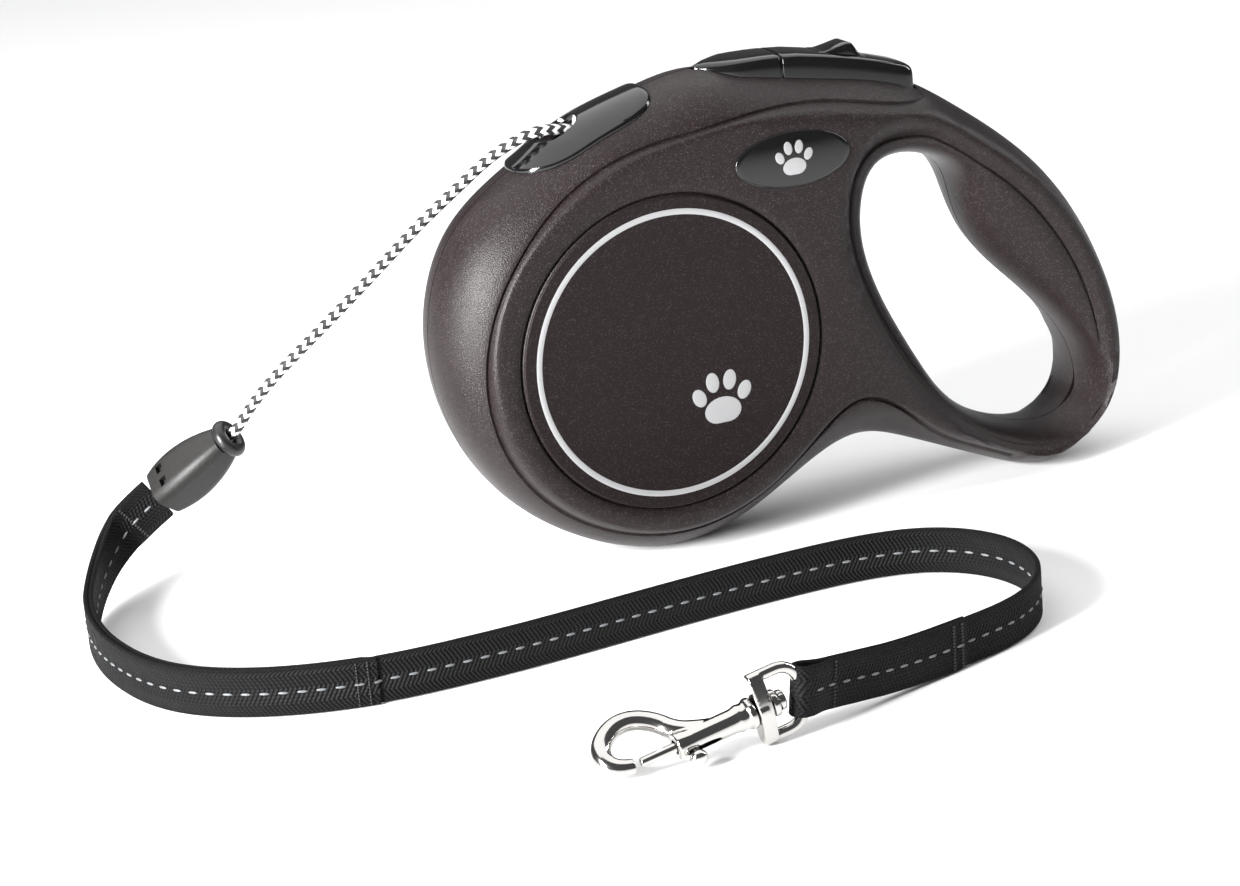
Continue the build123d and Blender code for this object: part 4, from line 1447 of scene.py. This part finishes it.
    def bars(self, tree: bpy.types.GeometryNodeTree) -> bpy.types.Object:
        """Bar tacks: short close rows of black thread across the webbing.

        Args:
            tree: The tree that sets stitches along a line.

        Returns:
            The piece.
        """
        line, along, side = self.strap_line()
        parts = []
        spots = (self.sewn_front - 2.5, self.sewn_front - 5, along[-1] - self.sewn_back + 2.5,
                 along[-1] - self.sewn_back + 5, 9.0, along[-1] - 9.0)
        for number, spot in enumerate(spots):
            at = int(np.argmin(abs(along - spot)))
            ahead = line[at + 1] - line[at - 1]
            up = np.cross(ahead / np.linalg.norm(ahead), side[at])
            up = up if up[2] > 0 else -up
            for face in (-1, 1):
                out = side[at] * face * (self.strap_thick + 0.06)
                run = np.array([line[at] + out + up * v
                                for v in np.linspace(-self.tack_half, self.tack_half, 30)])
                parts.append(beads_along(f"bar{number}{face}", tree, run, 0.8, (0.4, 0.9, 0.62), YARN_BLACK))
        return merge("bar_tacks", parts)


# ---- snap ---------------------------------------------------------------------------------------
@dataclass
class Snap:
    """Cast swivel snap: D-shaped eye, body with its open ring, and the sprung bolt."""

    at: tuple[float, float, float] = (-71.5, -134.9, 9.5)
    tilt: float = math.radians(11.3)
    roll: float = math.radians(31.0)
    rod_r: float = 1.4
    rod_reach: float = 9.6
    collar_end: float = 7.4
    barrel_end: float = 22.5
    gate_reach: float = 9.4
    eye_half: float = 7.75

    def axes(self, roll: float) -> Matrix:
        """The place of a part of the snap: local z along the swivel to the tip, x rolled about it.

        Args:
            roll: Turn of local x about the swivel axis, from level.

        Returns:
            The matrix from local millimetres to the world's.
        """
        axis = Vector((-math.cos(self.tilt), 0, -math.sin(self.tilt)))
        up = Vector((-math.sin(self.tilt), 0, math.cos(self.tilt)))
        out = Vector((0, 1, 0)) * math.cos(roll) + up * math.sin(roll)
        side = axis.cross(out)
        turn = Matrix((out, side, axis)).transposed().to_4x4()
        return Matrix.Translation(self.at) @ turn

    def eye(self) -> bpy.types.Object:
        """The D-shaped eye: rounded bar that widens into a yoke with a boss.

        Returns:
            The piece.
        """
        place = self.axes(math.pi / 2)
        half, reach = self.eye_half, self.rod_reach
        loop = rounded([(-half, 0, 1.3), (-half, 0, -reach), (half, 0, -reach), (half, 0, 1.3)], 4,
                       closed=False)
        line, _ = evenly(loop, 0.5)
        bar = swept("eye_bar", put(line, place), np.full(len(line), self.rod_r), 20)
        outline = [(half + 1.3, 1.6), (half + 1.3, -1.6), (4.6, -2.9), (0, -3.9), (-4.6, -2.9),
                   (-half - 1.3, -1.6), (-half - 1.3, 1.6), (-4.6, 2.9), (0, 3.9), (4.6, 2.9)]
        rows = [[(x * s, y * s, z) for x, y in rounded(outline, 3)]
                for z, s in ((-1.0, 0.93), (-0.6, 1.0), (2.25, 1.0), (2.6, 0.93))]
        yoke = grid_mesh("eye_yoke", put(np.array(rows), place))
        boss = lathe("eye_boss", [(3.0, -0.1), (3.9, 0.2), (3.9, 2.4), (3.2, 2.75)], place)
        return cast(merge("snap_eye", [bar, yoke, boss]), 0.24, 5)

    def body(self) -> bpy.types.Object:
        """The swivel head, stepped collar, slotted barrel and open ring, run together like a casting.

        Returns:
            The piece.
        """
        place = self.axes(self.roll)
        end, tip = self.barrel_end, self.barrel_end + self.gate_reach
        rivet = [(0.2, -5.0), (1.8, -4.95), (2.35, -4.6), (2.45, -3.2), (3.05, -2.95), (3.2, -2.6), (3.2, -1.6),
                 (2.9, -1.3), (1.65, -1.2), (1.65, 2.9)]
        collar = [(3.5, 2.95), (3.75, 3.2), (3.75, 4.4), (3.2, 4.75), (3.1, 5.4), (3.3, 6.6), (3.0, 7.3)]
        barrel = [(2.85, 8.2), (2.85, 18.5), (3.1, 20.6), (3.15, end - 0.4), (2.8, end), (0.4, end)]
        head = lathe("head", rivet + collar + barrel, place)
        spine = [(0.5, 0, end - 10.5), (1.4, 0, end - 6.2), (4.0, 0, end - 1.9), (8.2, 0, end + 0.8),
                 (11.2, 0, end + 5.2), (11.4, 0, end + 9.6), (9.2, 0, end + 13.6), (5.6, 0, end + 15.8),
                 (2.2, 0, end + 14.9), (0.35, 0, end + 12.2), (0.1, 0, tip + 0.7)]
        line, along = evenly(route_points("ring_line", spine), 0.45)
        share = along / along[-1]
        radii = np.interp(share, [0, 0.12, 0.3, 0.55, 0.8, 0.93, 1.0], [2.3, 2.6, 2.35, 2.4, 2.4, 2.1, 1.8])
        ring = swept("ring", put(line, place), radii, 28, flat=0.94, normal=Vector(place.col[1][:3]))
        body = cast(merge("snap_body", [head, ring]), 0.25, 6)
        bore = lathe("bore", [(1.72, self.collar_end + 1.6), (1.72, end + 0.8)], place, 32)
        seat = lathe("seat", [(1.4, tip - 1.3), (1.4, tip + 0.6)], place, 24)
        rows = [rounded([(x, -0.95, 12.2), (x, 0.95, 12.2), (x, 0.95, end - 1.5), (x, -0.95, end - 1.5)], 2)
                for x in (-4.6, -1.2)]
        slot = grid_mesh("slot", put(np.array(rows), place))
        return cut(body, bore, seat, slot)

    def bolt(self) -> bpy.types.Object:
        """The sprung bolt: a round-nosed rod with a piston, and a turned thumb bead on a stem.

        Returns:
            The piece.
        """
        place, end = self.axes(self.roll), self.barrel_end
        rod = lathe("rod", [(0.3, end - 5.3), (1.6, end - 5.2), (1.66, end - 5), (1.66, end - 1.7),
                            (1.2, end - 1.5), (1.15, end + 8.4), (0.9, end + 8.75), (0.3, end + 8.85)],
                    place, 28)
        knob_axis = place @ Matrix.Translation((0, 0, end - 3.3)) @ Matrix.Rotation(math.radians(-90), 4, "Y")
        knob = lathe("knob", [(0.62, 0.9), (0.62, 3.2), (1.3, 3.45), (1.9, 4.0), (2.15, 4.8), (2.0, 5.6),
                              (1.4, 6.2), (0.5, 6.5)], knob_axis, 28)
        return merge("snap_bolt", [rod, knob])


# ---- studio -------------------------------------------------------------------------------------
@dataclass
class Studio:
    """Camera, pale floor and soft lights."""

    eye: tuple[float, float, float] = (-0.3266, -0.7265, 0.2923)
    ahead: tuple[float, float, float] = (0.3385, 0.8847, -0.3208)
    roll: float = math.radians(-5.06)
    lens: float = 91.25
    lamps_face: tuple[float, float, float] = (-0.03, 0.0, 0.06)
    floor_half: float = 6000.0
    floor_gloss: float = 0.2
    sky_lit: float = 0.13
    sky_seen: float = 0.95

    def camera(self) -> None:
        """Places the camera."""
        ahead = Vector(self.ahead).normalized()
        right = ahead.cross(Vector((0, 0, 1))).normalized()
        up = right.cross(ahead)
        x_axis = right * math.cos(self.roll) + up * math.sin(self.roll)
        y_axis = up * math.cos(self.roll) - right * math.sin(self.roll)
        data = bpy.data.cameras.new("Camera")
        data.lens = self.lens
        data.clip_end = 20
        camera = bpy.data.objects.new("Camera", data)
        turn = Matrix((x_axis, y_axis, -ahead)).transposed().to_4x4()
        camera.matrix_world = Matrix.Translation(self.eye) @ turn
        bpy.context.scene.collection.objects.link(camera)
        bpy.context.scene.camera = camera

    def light(self, name: str, at: tuple[float, float, float], size: tuple[float, float], power: float) -> None:
        """Adds a soft rectangular light that faces the leash.

        Args:
            name: Name of the lamp.
            at: Its place, in metres.
            size: Its two sides, in metres.
            power: Its power, in watts.
        """
        data = bpy.data.lights.new(name, "AREA")
        data.shape = "RECTANGLE"
        data.size, data.size_y = size
        data.energy = power
        lamp = bpy.data.objects.new(name, data)
        lamp.location = at
        lamp.rotation_mode = "QUATERNION"
        lamp.rotation_quaternion = (Vector(self.lamps_face) - Vector(at)).to_track_quat("-Z", "Y")
        bpy.context.scene.collection.objects.link(lamp)

    def floor(self) -> None:
        """Lays the floor: a wide pale sheet with a little gloss."""
        ends = (-self.floor_half, self.floor_half)
        rows = np.array([[(x, y, 0) for x in ends] for y in ends])
        sheet = grid_mesh("floor", rows, closed=False, capped=False)
        material = bpy.data.materials.new("Pale floor")
        material.use_nodes = True
        shader = material.node_tree.nodes["Principled BSDF"]
        shader.inputs["Base Color"].default_value = (0.93, 0.93, 0.93, 1)
        shader.inputs["Roughness"].default_value = self.floor_gloss
        sheet.data.materials.append(material)
        sheet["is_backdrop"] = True

    def build(self) -> None:
        """Adds the floor, the lights and the pale surroundings."""
        self.floor()
        self.light("Key", (-1.0, -0.42, 0.36), (0.22, 0.5), 52)
        self.light("Overhead", (0.0, 0.55, 1.6), (3.0, 2.4), 46)
        self.light("Handle side", (1.1, -0.1, 0.65), (0.25, 0.8), 7)
        bpy.context.scene.view_settings.view_transform = "Standard"
        world = bpy.data.worlds.new("Studio")
        world.use_nodes = True
        sky = world.node_tree.nodes["Background"]
        sky.inputs[0].default_value = (0.96, 0.97, 1.0, 1)
        n = Nodes(world.node_tree)
        seen = n.add("ShaderNodeLightPath").outputs["Is Camera Ray"]
        n.feed(sky.inputs[1], n.ramp(seen, 0, 1, self.sky_lit, self.sky_seen))
        bpy.context.scene.world = world


CAD_FINISHES = {
    "disc_left": DISC_BLACK, "disc_right": DISC_BLACK,
    "cord_guide": BUSH, "button_pin": STEEL, "button_spring": SPRING_STEEL, "reel_axle": STEEL,
    "cord_lead": CORD_YARN, "case_screws": STEEL, "o_ring": RUBBER_BLACK, "stopper_front": STOPPER_BLACK,
    "stopper_back": STOPPER_BLACK, "cord_knot": YARN_BLACK, "cord_tail": YARN_BLACK, "reel_drum": NYLON,
    "reel_flange": NYLON, "spring_cover": STEEL, "clock_spring": SPRING_STEEL, "wound_cord": CORD_YARN,
    "brake_pawl": NYLON, "hook_spring": SPRING_STEEL}


def dress_nodes(frame: dict) -> None:
    """Gives every carried-over CAD node its finish.
    """
    for name, finish in CAD_FINISHES.items():
        node = frame["nodes"][name]
        for slot in node.material_slots:
            slot.material = finish.material()


def corners() -> list:
    """The shown object's box as plain lists."""
    return [list(corner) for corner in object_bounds()]


def main() -> None:
    """Builds the looks in order."""
    logging.basicConfig(level=logging.INFO, format="%(message)s")
    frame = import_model()
    studio = Studio()
    studio.camera()
    low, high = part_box("wound_cord")
    reel = ((low[0] + high[0]) / 2 / MM, (low[2] + high[2]) / 2 / MM)

    tether = Tether()
    stitch_tree = bead_tree("Thread beads")
    cord, cord_line = tether.cord()
    hand_over(cord, Body.CASE, "cord_yarn", CORD_YARN, "cord", sharp=180)
    strap, strap_line = tether.strap()
    hand_over(strap, Body.CASE, "webbing", WEBBING, "strap", sharp=70)
    stitches = hand_over(tether.stitches(stitch_tree), Body.CASE, "webbing", STITCH_GREY, sharp=180)
    bars = hand_over(tether.bars(stitch_tree), Body.CASE, "webbing", YARN_BLACK, sharp=180)

    snap = Snap()
    eye = hand_over(snap.eye(), Body.EYE, "nickel", NICKEL, "swivel_eye", sharp=60)
    body = hand_over(snap.body(), Body.SNAP, "nickel", NICKEL, "hook_body", sharp=50)
    bolt = hand_over(snap.bolt(), Body.BOLT, "nickel", NICKEL, "hook_plunger", sharp=50)

    case = Case(reel)
    top = Top(case)
    for side, name in ((-1, "left"), (1, "right")):
        shell = case.shell(side)
        cut(shell, top.slot_cutter(), top.bore_cutter())
        if side > 0:
            shell = case.screw_wells(shell)
        hand_over(shell, Body.CASE, "case_plastic", CASE_BLACK, f"case_{name}", sharp=45)
    hand_over(top.nozzle(), Body.CASE, "gloss_black", GLOSS_BLACK, "nozzle", sharp=35)
    hand_over(top.button(), Body.BUTTON, "gloss_black", GLOSS_BLACK, "brake_button", sharp=30)
    hand_over(top.lock(), Body.SLIDER, "gloss_black", GLOSS_BLACK, "lock_slider", sharp=45)

    trim = Trim(reel)
    disc_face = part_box("disc_right")[1][1] / MM
    badge_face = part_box("badge_right")[1][1] / MM
    for side, name in ((-1, "left"), (1, "right")):
        hand_over(trim.ring(side, disc_face), Body.CASE, "nickel", SILVER_FOIL)
        hand_over(trim.paw(f"disc_paw_{name}", (12, 42), 15, side, disc_face), Body.CASE, "nickel", SILVER_FOIL)
        hand_over(trim.badge(side, badge_face), Body.CASE, "gloss_black", GLOSS_BLACK, f"badge_{name}",
                  sharp=60)
        hand_over(trim.paw(f"badge_paw_{name}", trim.badge_at, 9.5, side, badge_face, domed=True), Body.CASE,
                  "nickel", SILVER_FOIL)
    dress_nodes(frame)

    studio.build()
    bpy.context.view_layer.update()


if __name__ == "__main__":
    main()
